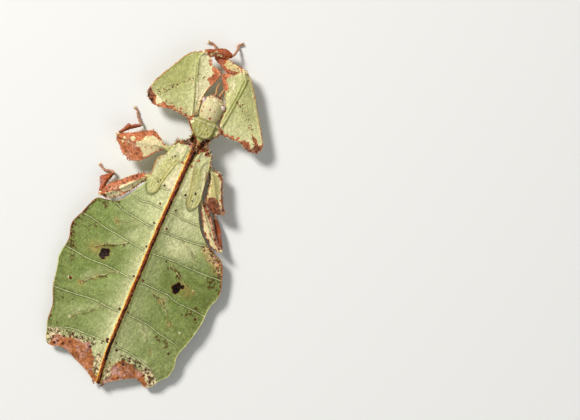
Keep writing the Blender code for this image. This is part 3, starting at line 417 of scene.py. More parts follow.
abdomen_cuticle = cuticle("abdomen_cuticle", "#86964C", "#7A8B44", rust="#D4844A",
                          rust_deep="#74402E", rust_pale="#DCAA9A", bloom_and_highlight="#EAE5AE",
                          vein="#636A30", fleck="#5A3C1C", ruled=True)
lobe_cuticle = cuticle("leg_lobe_cuticle", "#BAB971", "#ACAB63", rust="#E68E5E",
                       rust_deep="#984E2E", rust_pale="#D69C7C", cream="#F6EAB6",
                       bloom_and_highlight="#F8F0BC")
pad_cuticle = cuticle("wing_pad_cuticle", "#CCC67C", "#B8B56A")
shield_cuticle = cuticle("shield_cuticle", "#B6B068", "#9C9854")
head_cuticle = cuticle("head_cuticle", "#D8C88E", "#C8BA7E", rust="#B8403C", rust_deep="#9A3A30",
                       rust_pale="#C05A48", vein="#77782F", bump=0.15)
shin_cuticle = cuticle("shin_cuticle", "#C26236", "#A24A2A", rust="#CE6232", rust_deep="#6A301C",
                       cream="#DECB8E")
foot_cuticle = cuticle("foot_cuticle", "#C48A70", "#A4664E", cream="#D9D089", bump=0.15)
print("seven kinds of cuticle")

# %% [markdown]
# ## Helpers for shape
#
# Nearly every piece of this insect is a thin plate between two edges, with a rib between
# them. A flat grid is added, and its points are moved so that it fills the space from the
# left edge over the rib to the right edge. Solidify gives it a back, and the back's points
# are set to the real thickness.

# %% Curves, distances and patches


def smooth(points, steps):
    """Points of a curve that passes through every given point."""
    given = np.array([points[0], *points, points[-1]], dtype=float)
    line = []
    for a, b, c, d in zip(given, given[1:], given[2:], given[3:]):
        for t in np.arange(steps) / steps:
            line.append(0.5 * (2 * b + (c - a) * t + (2 * a - 5 * b + 4 * c - d) * t * t
                               + (3 * b - a - 3 * c + d) * t * t * t))
    line.append(given[-1])
    return np.array(line)


def most(first, *others):
    """The greatest of several values at each place."""
    for other in others:
        first = np.maximum(first, other)
    return first


def reach(x, y, line):
    """Distance in millimetres from each point to a line of straight stretches."""
    best = np.full(x.shape, np.inf)
    for (ax, ay), (bx, by) in zip(line, line[1:]):
        dx, dy = bx - ax, by - ay
        share = np.clip(((x - ax) * dx + (y - ay) * dy) / (dx * dx + dy * dy + 1e-9), 0, 1)
        best = np.minimum(best, np.hypot(x - ax - share * dx, y - ay - share * dy))
    return best


LINE_STEPS = 3
FAR = 9.0


def curve_reach(x, y, points):
    """Distance in millimetres to the smooth curve through a few points."""
    return reach(x, y, smooth(points, LINE_STEPS))


print("a curve through 3 places has", len(smooth(((0, 0), (1, 1), (2, 0)), 4)), "points")

# %% Soft edges


def stripe(distance, width, soft=0.3):
    """1 inside a stripe of that width, falling softly to 0 outside."""
    return np.clip((width / 2 - distance) / soft + 0.5, 0, 1)


def swell(distance, width):
    """A smooth bump across a distance."""
    return np.exp(-(distance / width) ** 2)


def ramp(value, low, high):
    """0 below low, 1 above high, and straight between."""
    return np.clip((value - low) / (high - low), 0, 1)


NEAR_RIB = 0.15


def rim_gap(side, off):
    """Distance to the nearer edge of a plate, from the place's share of the way out."""
    share = np.maximum(np.abs(side), NEAR_RIB)
    return np.where(np.abs(side) < NEAR_RIB, FAR, np.abs(off) * (1 / share - 1))


def blots(x, y, spots, soft=0.3):
    """1 inside any of the round spots, each (x, y, radius)."""
    return most(np.zeros(x.shape), *(
        np.clip((radius - np.hypot(x - spot_x, y - spot_y)) / soft + 0.5, 0, 1)
        for spot_x, spot_y, radius in spots))


def gap_to(x, y, spots):
    """Distance to the nearest of the round spots, negative inside it."""
    best = np.full(x.shape, FAR)
    for spot_x, spot_y, radius in spots:
        best = np.minimum(best, np.hypot(x - spot_x, y - spot_y) - radius)
    return best


def patch_of(x, y, outlines, soft=0.6):
    """1 inside any of the closed outlines, falling softly to 0 outside."""
    best = np.zeros(x.shape)
    for outline in outlines:
        closed = [*outline, outline[0]]
        inside = np.zeros(x.shape, dtype=bool)
        for (ax, ay), (bx, by) in zip(closed, closed[1:]):
            at = ax + (y - ay) * (bx - ax) / (by - ay if by != ay else 1e-9)
            inside ^= ((ay > y) != (by > y)) & (x < at)
        distance = reach(x, y, closed)
        signed = np.where(inside, distance, -distance)
        best = np.maximum(best, np.clip(signed / soft + 0.5, 0, 1))
    return best


print("half-way up a soft edge:", ramp(0.5, 0, 1))

# %% Noise


def rough(x, y, size, seed=0.0):
    """Smooth noise from -1 to 1, with features of that size in millimetres."""
    return np.array([noise.noise((a / size + seed, b / size - seed, seed)) for a, b in zip(x, y)])


def wander(x, y, size, amount):
    """The same places pushed about by noise, so that a patch's edge runs unevenly."""
    return x + amount * rough(x, y, size, 11.0), y + amount * rough(x, y, size, 17.0)


print("noise at one place:", round(float(rough([0.3], [0.4], 1.0)[0]), 3))

# %% Points and what is stored on them


def deselect():
    """Leave nothing selected, because an operator acts on all that is."""
    bpy.ops.object.select_all(action="DESELECT")


def only(piece):
    """Select one piece and make it active."""
    deselect()
    piece.select_set(True)
    bpy.context.view_layer.objects.active = piece


def points_of(piece):
    """The piece's points as an array."""
    values = np.empty(len(piece.data.vertices) * 3)
    piece.data.vertices.foreach_get("co", values)
    return values.reshape(-1, 3)


def set_points(piece, places):
    """Move the piece's points."""
    piece.data.vertices.foreach_set("co", np.ascontiguousarray(places).ravel())
    piece.data.update()


def measure(piece, **fields):
    """Store values on the piece's points, such as distances in millimetres."""
    for name, values in fields.items():
        layer = piece.data.attributes.new(name, "FLOAT", "POINT")
        layer.data.foreach_set("value", np.ascontiguousarray(values, dtype=np.float32))


def note(piece, **markings):
    """Store every marking's value from 0 to 1, which is 0 where none is given."""
    count = len(piece.data.vertices)
    measure(piece, **{name: np.clip(np.broadcast_to(markings.get(name, 0.0), (count,)), 0, 1)
                      for name in LAYERS})


print("stored on every piece:", *LAYERS)

# %% A plate between two edges


def teeth(line, rib, size, pitch, seed, ragged=()):
    """Push an edge out in small uneven saw teeth, larger near each ragged place."""
    steps = np.linalg.norm(np.diff(line, axis=0), axis=1)
    way = np.concatenate([[0], np.cumsum(steps)])
    out = line - rib
    out /= np.linalg.norm(out, axis=1)[:, None] + 1e-9
    uneven = np.array([noise.noise((step / pitch * 0.5, seed, 0.0)) for step in way])
    phase = (way / pitch + 1.2 * uneven) % 1.0
    tooth = np.where(phase < 0.7, phase / 0.7, (1 - phase) / 0.3) * (0.6 + uneven) - 0.35
    ends = np.clip(np.minimum(way, way[-1] - way) / 1.0, 0, 1)
    for spot_x, spot_y, radius, growth in ragged:
        gap = np.hypot(line[:, 0] - spot_x, line[:, 1] - spot_y)
        ends = ends * (1 + growth * np.exp(-(gap / radius) ** 2))
    return line + out * (tooth * size * ends)[:, None]


def at_pace(line, pace):
    """The places on a line at the given shares of the way along it."""
    shares = np.arange(len(line)) / (len(line) - 1)
    return np.column_stack([np.interp(pace, shares, part) for part in line.T])


def plate(name, left, rib, right, top, depth, steps, columns, bend=None, gather=1.0,
          saw=(0.0, 0.0), pitch=0.9, ragged=(), pace=None):
    """A closed thin plate. Returns the piece and its points' x, y, side, along and back."""
    left_line, rib_line, right_line = (smooth(line, steps) for line in (left, rib, right))
    if pace is None:
        pace = np.arange(len(rib_line)) / (len(rib_line) - 1)
    left_line, rib_line, right_line = (at_pace(line, pace)
                                       for line in (left_line, rib_line, right_line))
    left_line = teeth(left_line, rib_line, saw[0], pitch, 3.3, ragged)
    right_line = teeth(right_line, rib_line, saw[1], pitch, 5.7, ragged)
    rows = len(rib_line)
    deselect()
    bpy.ops.mesh.primitive_grid_add(x_subdivisions=columns, y_subdivisions=rows - 1, size=2)
    piece = bpy.context.object
    piece.name = name
    flat = points_of(piece)
    side = np.sign(flat[:, 0]) * np.abs(flat[:, 0]) ** gather
    row = np.rint((flat[:, 1] + 1) / 2 * (rows - 1)).astype(int)
    along = pace[row]
    edge = np.where(side[:, None] < 0, left_line[row], right_line[row])
    power = bend(along) if bend else np.ones(len(side))
    x = rib_line[row, 0] + (edge[:, 0] - rib_line[row, 0]) * np.abs(side)
    y = rib_line[row, 1] + (edge[:, 1] - rib_line[row, 1]) * np.abs(side) ** power
    x, y, z = top(x, y, side, along)
    wall = piece.modifiers.new("back", "SOLIDIFY")
    wall.thickness = 0.5 * MM
    set_points(piece, to_frame(np.column_stack([x, y, z])))
    only(piece)
    bpy.ops.object.modifier_apply(modifier="back")
    count = len(x)
    places = points_of(piece)
    lower = np.column_stack([x, y, np.maximum(z - depth(x, y, side, along), 0.0)])
    places[:count] = to_frame(np.column_stack([x, y, z]))
    places[count:] = to_frame(lower)
    set_points(piece, places)
    finish_faces()
    back = np.concatenate([np.zeros(count), np.ones(count)])
    return piece, *(np.concatenate([part, part]) for part in (x, y, side, along)), back


print("at half pace between 0 and 8:", at_pace(np.array([[0.0], [8.0]]), [0.5])[0, 0])

# %% Finishing a piece
SMOOTH_ANGLE = 75


def finish_faces():
    """Turn all faces of the active piece outwards and shade it smooth."""
    bpy.ops.object.mode_set(mode="EDIT")
    bpy.ops.mesh.select_all(action="SELECT")
    bpy.ops.mesh.normals_make_consistent(inside=False)
    bpy.ops.object.mode_set(mode="OBJECT")
    bpy.ops.object.shade_smooth_by_angle(angle=math.radians(SMOOTH_ANGLE))


def unit_ball(name, segments, ring_count):
    """A sphere of radius 1 about the origin, with nothing else selected."""
    deselect()
    bpy.ops.mesh.primitive_uv_sphere_add(segments=segments, ring_count=ring_count, radius=1)
    bpy.context.object.name = name
    return bpy.context.object


def place_ball(ball, radii, centre):
    """Squeeze a sphere to its three radii and move it to its place, in millimetres."""
    set_points(ball, to_frame(points_of(ball) * np.array(radii) + np.array(centre)))
    bpy.ops.object.shade_smooth()


def dress(piece, material, slot, *nodes):
    """Give a piece its material and its body, and hide the nodes that it stands for."""
    piece.data.materials.clear()
    piece.data.materials.append(material)
    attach(piece, "root")
    if nodes:
        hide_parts(*nodes)


print("edges sharper than", SMOOTH_ANGLE, "degrees stay sharp")

# %% [markdown]
# ## The body: thorax and abdomen as one skin
#
# On the animal the rings of the thorax and abdomen are joined by soft skin, so one plate
# makes them all, from the neck to the tail. It has a thick belly along the middle and thin
# leaf-like sides. A raised keel runs down the back, like a leaf's midrib. The rear margin
# has its own outline, because it runs to a point in two hollow curves.

# %% The body's outline
THORAX_LEFT = [
    (-2.2, 1.9), (-2, 0.9), (-2, 0), (-2.3, -0.9), (-3.7, -1.6), (-5.3, -2.4), (-5.7, -3.4),
    (-5.9, -4.6), (-6.4, -6), (-6.9, -7.2), (-8.4, -8.4), (-8.9, -10.4), (-8.9, -12.2),
    (-8.8, -14.2), (-9.2, -16.2)]
THORAX_MIDDLE = [
    (0.9, 2.5), (0.85, 1.3), (0.8, 0.2), (0.7, -0.9), (0.6, -1.9), (0.5, -2.9), (0.5, -4),
    (0.4, -5.1), (0.4, -6.2), (0.3, -7.4), (0.3, -8.9), (0.2, -10.5), (0.1, -12.2), (0, -14),
    (0, -15.8)]
THORAX_RIGHT = [
    (4, 1.9), (3.7, 0.9), (3.4, 0), (3.4, -1), (4.5, -1.8), (5.5, -2.6), (5.8, -3.7), (6.1, -4.9),
    (6.4, -6.1), (6.7, -7.3), (6.9, -9), (7.1, -10.6), (7.4, -12.4), (7.6, -14.2), (7.5, -16)]
ABDOMEN_LEFT = [
    (-9.4, -17.3), (-10.9, -19.8), (-12.5, -22.6), (-15, -25.1), (-18, -25.8), (-20.8, -26.4),
    (-22.2, -28.8), (-23.4, -32), (-25, -36), (-24.1, -40.6), (-24.9, -45.5), (-24.2, -49.5),
    (-23.2, -55), (-21.4, -60), (-21, -64.8), (-20.3, -67.2), (-19.8, -69.2), (-19, -70.9)]
ABDOMEN_RIGHT = [
    (7.4, -17.3), (8.7, -20.1), (10.2, -23), (12, -25.3), (14.4, -27.3), (17.2, -28.8), (20, -30.4),
    (21.8, -34.5), (23, -39.5), (21.6, -44), (21.3, -48.5), (20.6, -52.5), (19.5, -56.5),
    (18.2, -60.5), (18.6, -64.2), (17.9, -67.2), (16, -69.2), (15, -71)]
KEEL = [
    (-0.1, -17.3), (-0.2, -20), (-0.3, -22.6), (-0.4, -25.2), (-0.5, -27.8), (-0.5, -30.2),
    (-0.6, -32.6), (-0.6, -35.1), (-0.6, -39.6), (-0.7, -44.1), (-0.8, -47.6), (-0.8, -51.1),
    (-0.9, -54.7), (-1, -59.6), (-1, -64.6), (-0.9, -68.5), (-0.6, -72.5), (-0.3, -76.6)]
REAR_EDGE = [
    (-19, -70.9), (-18, -71.4), (-16.4, -71.3), (-15, -70.8), (-13.6, -70.7), (-11.8, -71.2),
    (-10, -72.1), (-8, -73), (-6.2, -73.7), (-4.6, -74.6), (-3, -75.7), (-1.6, -76.3),
    (-0.3, -76.6), (1, -76.1), (2.4, -75), (4, -74), (5.6, -73), (7.4, -71.9), (9.2, -71.3),
    (10.8, -71.7), (12.4, -72.6), (13.8, -72.4), (15, -71)]
BODY_LEFT = THORAX_LEFT + ABDOMEN_LEFT
BODY_MIDDLE = THORAX_MIDDLE + KEEL
BODY_RIGHT = THORAX_RIGHT + ABDOMEN_RIGHT
CREST = [(6, 6.3), (0, 6.5), (-7, 7), (-17, 6.7), (-30, 6.6), (-45, 6.2), (-60, 5), (-70, 3.7),
         (-78, 2.3)]
ROW_BEND = 1.8
REAR_BEND = 0.75
REAR_START = 0.82
REAR_ROWS = 0.87
BODY_STEPS = 9
THORAX_ROWS = 78
ABDOMEN_ROWS = 230
BODY_COLUMNS = 152
BODY_GATHER = 1.25

middle_line = smooth(BODY_MIDDLE, BODY_STEPS)
waist_share = len(THORAX_LEFT) / (len(BODY_LEFT) - 1)
BODY_PACE = np.concatenate([np.linspace(0, waist_share, THORAX_ROWS, endpoint=False),
                            np.linspace(waist_share, 1, ABDOMEN_ROWS)])
print("the body has", len(BODY_PACE), "rows of points")

# %% Where the keel, the roof and the rear margin lie


def read_table(table, y):
    """A value read from (place, value) pairs that run from front to rear."""
    places, values = zip(*reversed(table))
    return np.interp(y, places, values)


def keel_x(y):
    """Where the keel lies at each y."""
    return np.interp(-y, -middle_line[:, 1], middle_line[:, 0])


def roof(x, y):
    """Height of the back, which falls gently from the keel to both sides."""
    slope = np.interp(-y, (45.0, 76.0), (0.15, 0.04))
    away = np.hypot(x - keel_x(y), 1.5) - 1.5
    return read_table(CREST, y) - slope * away


def body_bend(along):
    """The rings' joints arch forward to the sides, and the rear edge runs to a point."""
    way = (along - waist_share) / (1 - waist_share)
    rear = np.clip((way - REAR_START) / (1 - REAR_START), 0, 1)
    grown = np.clip(way * 4 + 1, 0, 1)
    return 1 + (ROW_BEND - 1) * grown + (REAR_BEND - ROW_BEND) * rear


def rear_shift(x, y, side, along):
    """How far each point moves so that the last row follows the rear margin."""
    last = along > 1 - 1e-6
    order = np.argsort(side[last])
    sides, last_x, last_y = (part[last][order] for part in (side, x, y))
    edge_x, edge_y = smooth(REAR_EDGE, 4).T
    wanted = np.interp(last_x, edge_x, edge_y) + 0.12 * rough(last_x, last_y, 0.5, 3.3)
    return np.interp(side, sides, wanted - last_y) * ramp(along, REAR_ROWS, 1.0) ** 2


print("the keel's top is", float(read_table(CREST, 0.0)), "mm above the floor at the waist")

# %% Relief of the back
JOINT_LINES = [
    [(-9.2, -17), (-5, -16.8), (-0.2, -16.3), (3.8, -16.7), (7.5, -17)],
    [(-10.4, -22), (-8.6, -22.3), (-7, -22.3), (-5.4, -22), (-2.4, -22.3), (-0.3, -22.3),
     (2, -22.2), (3.6, -22.5), (5, -22.9), (9, -22.9), (10.6, -22.8)],
    [(-14.8, -25.7), (-13, -26.5), (-11, -27.1), (-7, -27.7), (-4, -28.1), (-0.5, -28.4),
     (1.9, -28.3), (5, -28.4), (9, -28.3), (12, -28), (15, -27.4)],
    [(-23.4, -32.1), (-20, -32.4), (-15, -33.6), (-11, -34.1), (-5.5, -34.9), (-0.6, -35.3),
     (2.5, -35.3), (8, -35.2), (14, -35.5), (21.8, -35.4)],
    [(-24.2, -42.9), (-20, -43.3), (-16, -43.8), (-11, -43.6), (-7, -43.9), (-0.7, -44.4),
     (2.2, -44.4), (6, -44.7), (9, -44.9), (11.6, -45.9), (14, -46.2), (18, -46.4), (21.4, -46.9)],
    [(-23, -55.1), (-17, -54.8), (-12, -54.3), (-9, -54.2), (-6, -54.6), (-2.6, -54.6),
     (1.5, -54.6), (5, -54.9), (7.6, -55.3), (10.4, -56.3), (13, -56.8), (16.4, -57.6)],
    [(-15.4, -65.1), (-13, -64.4), (-7, -64.3), (-3, -64.1), (1.5, -64.4), (5, -64.8), (7.4, -65.4),
     (10, -66.3), (12.4, -67)]]
PALE_VEINS = [
    [(-7, -28.1), (-8.9, -28.8), (-10, -29.6), (-12, -30.2), (-13.6, -31.1)],
    [(-7.4, -35.1), (-8.5, -35.6), (-9.6, -36.4), (-11, -37), (-12.6, -37.6), (-13.8, -38.1),
     (-15, -39), (-16.4, -39.8)],
    [(-6.8, -44.1), (-9, -44.9), (-10, -46), (-12, -47.4), (-14.3, -49.2), (-15.8, -51.1)],
    [(-6.4, -54.9), (-7.8, -55.3), (-9.8, -57.2), (-12.3, -59.1), (-13.6, -59.8), (-15, -61.2)],
    [(7.3, -29), (9, -30), (10.4, -30.8), (11.8, -31.8), (13.2, -32.6)],
    [(5.9, -35.6), (7, -36.6), (9, -38), (10.6, -39), (12, -40), (13.4, -40.8)],
    [(4.8, -45), (5.6, -46.4), (7, -46.7), (8, -47.5), (9.3, -48.5), (10.3, -49.8), (12, -51.9),
     (13, -53.1)], [(4.9, -55.2), (6, -56.6), (8.4, -59.6), (10.4, -62.5)]]
VEIN_FAINTNESS = (0.1, 0.0, 0.0, 0.03, 0.08, 0.04, 0.05, 0.14)
CHEST_RIDGES = [
    [(-1.6, -2.6), (-1.4, -4.4), (-1.7, -6.4), (-2.4, -8.2)],
    [(2.7, -2.6), (2.4, -4.6), (2.2, -6.4), (2.4, -8.2)], [(-5.2, -4.6), (-4, -5.4), (-3.2, -6.8)],
    [(5.2, -4.8), (4.4, -6.2), (4.2, -7.8)]]
HOLLOWS = [((-0.7, -0.2), (0.7, 1.0)), ((2.4, -0.8), (0.8, 1.4))]
HOLLOW_DEPTH = 1.1
KEEL_RISE = 0.42
KEEL_REACH = 0.85
SEAM_RISE = 0.16
SEAM_WIDTH = 0.16
VEIN_RISE = 0.18
VEIN_WIDTH = 0.24
RIDGE_RISE = 0.2
FOLD_RISE = 0.62
FOLD_SIZE = 4.6
BELLY_DEPTH = 7.5
THORAX_DEPTH = 4.8
print(len(JOINT_LINES), "joints and", len(PALE_VEINS), "side veins")

# %% The back and the belly


def back_height(x, y):
    """The back's broad shape, without keel, joints and veins."""
    off = np.abs(x - keel_x(y))
    z = roof(x, y)
    z += 0.42 * np.exp(-(off / 3.4) ** 2) * ramp(-y, 6, 18)
    z += 0.25 * np.clip(1 - (off / 10) ** 2, 0, 1) * ramp(-y, 20, 28)
    z -= 0.9 * ramp(y, -0.2, 1.2)
    return z


def hollow_share(x, y):
    """1 in the middle of each of the collar's two hollows, falling to 0 around them."""
    return sum(np.exp(-((x - mid_x) / half_x) ** 2 - ((y - mid_y) / half_y) ** 2)
               for (mid_x, mid_y), (half_x, half_y) in HOLLOWS)


def behind_joint(x, y):
    """How far each place is behind the nearest joint in millimetres, negative before it."""
    nearest = np.full(x.shape, FAR)
    for line in JOINT_LINES:
        across, height = smooth(line, 4).T
        behind = np.interp(x, across, height) - y
        past = 2 * np.maximum(np.maximum(across[0] - x, x - across[-1]), 0)
        behind = np.where(behind < 0, behind - past, behind + past)
        nearest = np.where(np.abs(behind) < np.abs(nearest), behind, nearest)
    return nearest + 0.07 * rough(x, y, 1.4, 9.1)


def body_top(x, y, side, along):
    """Height of the back with its keel, joints, veins and soft waves."""
    y = y + rear_shift(x, y, side, along)
    z = back_height(x, y)
    off = np.abs(x - keel_x(y))
    keeled = ramp(-y, 2.5, 4.5)
    beads = 0.07 * rough(x, y, 0.8, 6.6)
    z += (KEEL_RISE + beads) * np.exp(-(off / KEEL_REACH) ** 4) * keeled
    z -= 0.12 * swell(off - 1.5, 0.4) * keeled
    behind = behind_joint(x, y)
    away = ramp(off, 0.6, 1.6)
    z += (SEAM_RISE * swell(behind, SEAM_WIDTH) - 0.14 * swell(behind + 0.34, 0.2)
          - 0.12 * swell(behind - 0.32, 0.2) + 0.1 * swell(behind + 1.1, 0.6)) * away
    for line in PALE_VEINS:
        gap = curve_reach(x, y, line)
        z += VEIN_RISE * swell(gap, VEIN_WIDTH) - 0.06 * swell(gap, 1.1)
    for line in CHEST_RIDGES:
        z += RIDGE_RISE * swell(curve_reach(x, y, line), 0.4)
    z -= HOLLOW_DEPTH * hollow_share(x, y)
    rim = rim_gap(side, off)
    leafy = ramp(-y, 20, 26)
    fold_y = y + 0.35 * off
    z += leafy * (FOLD_RISE * rough(x * 0.5, fold_y, FOLD_SIZE, 3.1) * np.clip(off / 7, 0, 1)
                  + 0.08 * rough(x, y, 2.0, 5.2) + 0.06 * rough(x * 0.5, y, 0.6, 5.2)
                  + 0.06 * rough(x, y * 0.4, 0.6, 7.2))
    z += leafy * 0.2 * swell(rim, 0.6)
    z += (1 - leafy) * ramp(-y, 8, 12) * 0.08 * rough(x, y, 1.2, 5.2)
    bite = rough(x, y, 1.0, 8.8) * np.exp(-(rim / 0.9) ** 2)
    x = x - 0.22 * np.abs(bite) * np.sign(x) * np.abs(side) ** 6 * ramp(-y, 3, 8)
    z += ramp(y, -4.8, -3.2) * 0.3 * rough(x, y, 0.6, 2.2)
    return x, y, z


def body_depth(x, y, side, along):
    """Thickness: a full belly between two thin sides, and a deep thorax."""
    off = np.abs(x - keel_x(y))
    skin = 0.25 + 0.4 * (1 - np.abs(side))
    near = np.clip(1 - (off / 8.5) ** 2, 0, 1)
    end = np.minimum(1, ramp(y, -77.5, -57.5) + 0.1)
    belly = skin + BELLY_DEPTH * end * near ** 1.5
    thorax = 0.8 + THORAX_DEPTH * (1 - side * side) ** 1.5
    share = ramp(-y, 16.0, 20.0)
    return thorax * (1 - share) + belly * share


print("thickness at the waist:", float(body_depth(0.8, 0.0, 0.0, 0.0)), "mm")

# %% The body's skin
body_skin, x, y, side, along, back = plate(
    "body_skin", BODY_LEFT, BODY_MIDDLE, BODY_RIGHT, body_top, body_depth,
    BODY_STEPS, BODY_COLUMNS, bend=body_bend, gather=BODY_GATHER, pace=BODY_PACE)
print("body skin has", len(body_skin.data.polygons), "faces")

# %% [markdown]
# ## The body's markings
#
# The back copies a leaf that is going brown from its tip. A rust band crosses the rear, with
# cream corners. The keel is a brown stripe with bright borders. Two dark eyespots, pale
# veins, small dots at each joint and rust along the front margins complete it. Painted light
# and shade lie over this: a painted highlight on the keel's lit left side, painted shade on its
# right, behind each joint, in the collar's hollows, around the wing pads' tips and over the
# broad folds of the sides, and painted highlights on some folds. Each marking is drawn from its
# own outline, line or place in millimetres from the waist.

# %% Markings of the body
REAR_BAND = [
    [(-18, -69.4), (-17, -68.3), (-14, -67.1), (-10, -66.9), (-6.6, -66.3), (-5.6, -67.8),
     (-4.8, -69.3), (-4.2, -71), (-3.8, -72.8), (-2.8, -74.2), (-0.8, -74.9), (-0.4, -78),
     (-8, -77), (-17.3, -73)],
    [(2, -69.8), (2.6, -68.6), (3.6, -67.5), (5.5, -67.8), (8, -68), (10.2, -68.6), (11.5, -69.8),
     (12.3, -71), (13, -72.2), (13, -75), (5, -78), (0.2, -78.5), (0.6, -75.2), (2.2, -73.8),
     (1.8, -71.8)]]
COLLAR = [
    [(-3, 2.5), (4.4, 2.5), (4, -1.3), (5.9, -2), (6.4, -3.5), (4.8, -3.3), (3, -2.6), (2, -3.7),
     (1.2, -5.2), (-0.3, -5.2), (-0.6, -3.8), (-1.3, -2.5), (-2.5, -2.4), (-4.6, -2.9),
     (-6.2, -3.6), (-6.2, -1.7), (-2.8, -0.2)]]
CREAM_PATCHES = [
    [(-21, -66.6), (-17.5, -66), (-15, -66.9), (-16.6, -68.6), (-17.4, -70), (-17.2, -73),
     (-21, -73)],
    [(-3.4, -68.8), (-1.6, -68.2), (-1.2, -73.6), (-3, -74), (-3.9, -72.4), (-4.2, -70.6)],
    [(0.2, -70.9), (1.4, -70.8), (1.5, -71.8), (2.2, -73.6), (0.6, -74.8), (0, -74.6)],
    [(10, -66.9), (12.5, -67), (14.4, -68.8), (15.6, -70.4), (15.2, -73), (13.2, -74),
     (11.5, -70.6), (10.4, -69)]]
CREAM_CHEST = [
    [(-0.7, -8.6), (-2.4, -9.8), (-3.2, -12.4), (-3.8, -15), (-2.4, -17.6), (-0.8, -18.6)],
    [(-4.6, -3.2), (-2, -3), (-1.6, -5), (-3, -6.2), (-5.4, -5)],
    [(1, -9.2), (1.8, -12), (2.4, -15.8), (0.8, -17.6)]]
print(len(REAR_BAND), "rear patches and", len(CREAM_PATCHES), "cream ones")

# %% Dots, dashes and eyespots
JOINT_DOTS = [
    (-3.7, -15.8, 0.3), (3, -16.1, 0.3), (-2.9, -21, 0.25), (2.1, -21.2, 0.25), (-2.3, -26.9, 0.25),
    (1.6, -27.1, 0.2), (-1.9, -34.1, 0.3), (1.1, -34.2, 0.22), (5, -36, 0.24), (-2.1, -43.4, 0.36),
    (0.8, -43.6, 0.34), (-2.4, -53.8, 0.44), (0.3, -53.8, 0.36), (-2.4, -63.4, 0.44),
    (0.4, -63.4, 0.36), (1.1, -65.4, 0.42), (-3.5, -65.1, 0.3), (-4, -6.7, 0.26),
    (-19.3, -50.9, 0.46), (-8.1, -36.2, 0.3), (-11.1, -37.5, 0.3), (-13.5, -38.5, 0.3),
    (9.4, -38.7, 0.26), (10.2, -39.1, 0.22), (7, -37.3, 0.24), (6.2, -37.7, 0.2),
    (5.6, -46.6, 0.24), (6.9, -46.7, 0.2), (-11.4, -47.4, 0.26), (-10.1, -47.1, 0.2),
    (19, -48.6, 0.36), (15.4, -60.9, 0.24), (14.2, -59.4, 0.24)]
SMALL_RUST = [
    (18.5, -30.5, 0.6), (19.7, -31.7, 0.6), (17.2, -29.3, 0.4), (-1.6, -7.7, 0.3), (1.7, -7.8, 0.3),
    (-1.1, -7.8, 0.25), (1.2, -7.7, 0.2), (-0.7, -5.4, 0.3), (1.4, -5.6, 0.3), (-1.8, -5, 0.2),
    (2.6, -5.3, 0.25)]
DARK_DASHES = [
    [(-3.4, -27.8), (-2.6, -28.1)], [(-3.4, -44.4), (-2.6, -44.6)], [(-3.4, -54.8), (-2.6, -54.9)],
    [(1, -44.7), (1.8, -44.9)], [(1.7, -28.3), (2.4, -28.4)], [(1, -35.6), (1.7, -35.6)],
    [(0.7, -54.9), (1.3, -55)]]
EYESPOTS = [
    (-12, -39.6, 0.75), (-12.7, -40.4, 1.2), (-13.5, -39.9, 0.5), (-13.3, -41.2, 0.75),
    (-12.6, -41.8, 0.7), (-11.8, -40.6, 0.7), (10.8, -40.8, 0.65), (10.7, -41.9, 1.15),
    (10.1, -42.2, 0.95), (12, -41.2, 0.5), (10.6, -43, 0.85)]
# Places where the brown of a vein's end has spread into the green.
BURNS = [
    (-16.2, -39.9, 1.7), (-14.6, -39, 0.8), (13.7, -42, 1.4), (12.8, -41, 0.9), (15.4, -41.6, 0.8),
    (-16, -51.2, 0.9), (-12.4, -47.9, 0.8), (12.8, -52.8, 0.9), (-14.5, -61.2, 0.7),
    (10.3, -62.5, 0.8), (-12.6, -30.3, 0.8), (7.8, -47.2, 0.8)]
print(len(JOINT_DOTS), "dots and", len(EYESPOTS), "blots in the two eyespots")

# %% Painted light and shade of folds and pad tips, and freckles
# Painted shadow around the tips of the wing pads, laid on the back as olive bands.
PAD_SHADES = [
    [(-9, -17.2), (-8.2, -18.8), (-6.8, -19.8), (-5.4, -18.9), (-4.7, -17.2)],
    [(3.9, -17.2), (4.6, -19), (5.8, -20), (7, -18.8), (7.6, -17.4)]]
# Painted light and shade of the broad soft folds of the leaf-like sides: how much painted
# highlight, or painted shade if negative, and where.
FOLD_LIGHT_AND_SHADE = [
    (-0.5, [(-5.5, -28.6), (-9, -29.8), (-13, -31.4), (-10.4, -33.8), (-8.6, -33.2), (-7, -30.8)]),
    (-0.3, [(1, -17.5), (4.2, -18.5), (3.4, -22), (2.4, -28), (1, -32)]),
    (-0.4, [(12, -37.4), (16, -38), (20.4, -37.4), (20.6, -39.6), (14, -39.6)]),
    (-0.4, [(-19, -41), (-14.4, -40.8), (-14.2, -42.8), (-18.6, -42.6)]),
    (-0.4, [(-11, -39), (-8.4, -38), (-6.6, -40.6), (-9, -42.8), (-11.2, -42)]),
    (-0.4, [(6.2, -38.4), (9.6, -39.8), (9, -43.4), (5.6, -43)]),
    (-0.35, [(12, -42.6), (17, -42), (20.6, -40.4), (20.8, -44.6), (13, -44.8)]),
    (0.3, [(-9.6, -30.6), (-5.6, -29.8), (-5.4, -34.2), (-9.6, -33.8)]),
    (0.3,
     [(-8, -44.4), (-10.4, -45.6), (-14.8, -49.6), (-16.6, -49.2), (-13, -45.6), (-10.4, -44.4)]),
    (0.25,
     [(-7.8, -55), (-10.4, -57.2), (-13.6, -59.6), (-15.2, -59), (-11.4, -55.8), (-9, -54.8)]),
    (0.25, [(-8, -35.2), (-10.4, -36.4), (-13.4, -37.7), (-12.6, -36), (-9.6, -34.9)]),
    (0.3, [(4.6, -55.4), (7.4, -55.8), (9.4, -59.4), (7.4, -59.8), (5.4, -57.6)]),
    (0.25, [(5.4, -45.4), (8.6, -45.4), (11, -49.4), (9.6, -49.4), (7.4, -46.9)]),
    (0.3, [(4, -29), (12, -29), (11, -34.4), (4, -34.4)])]
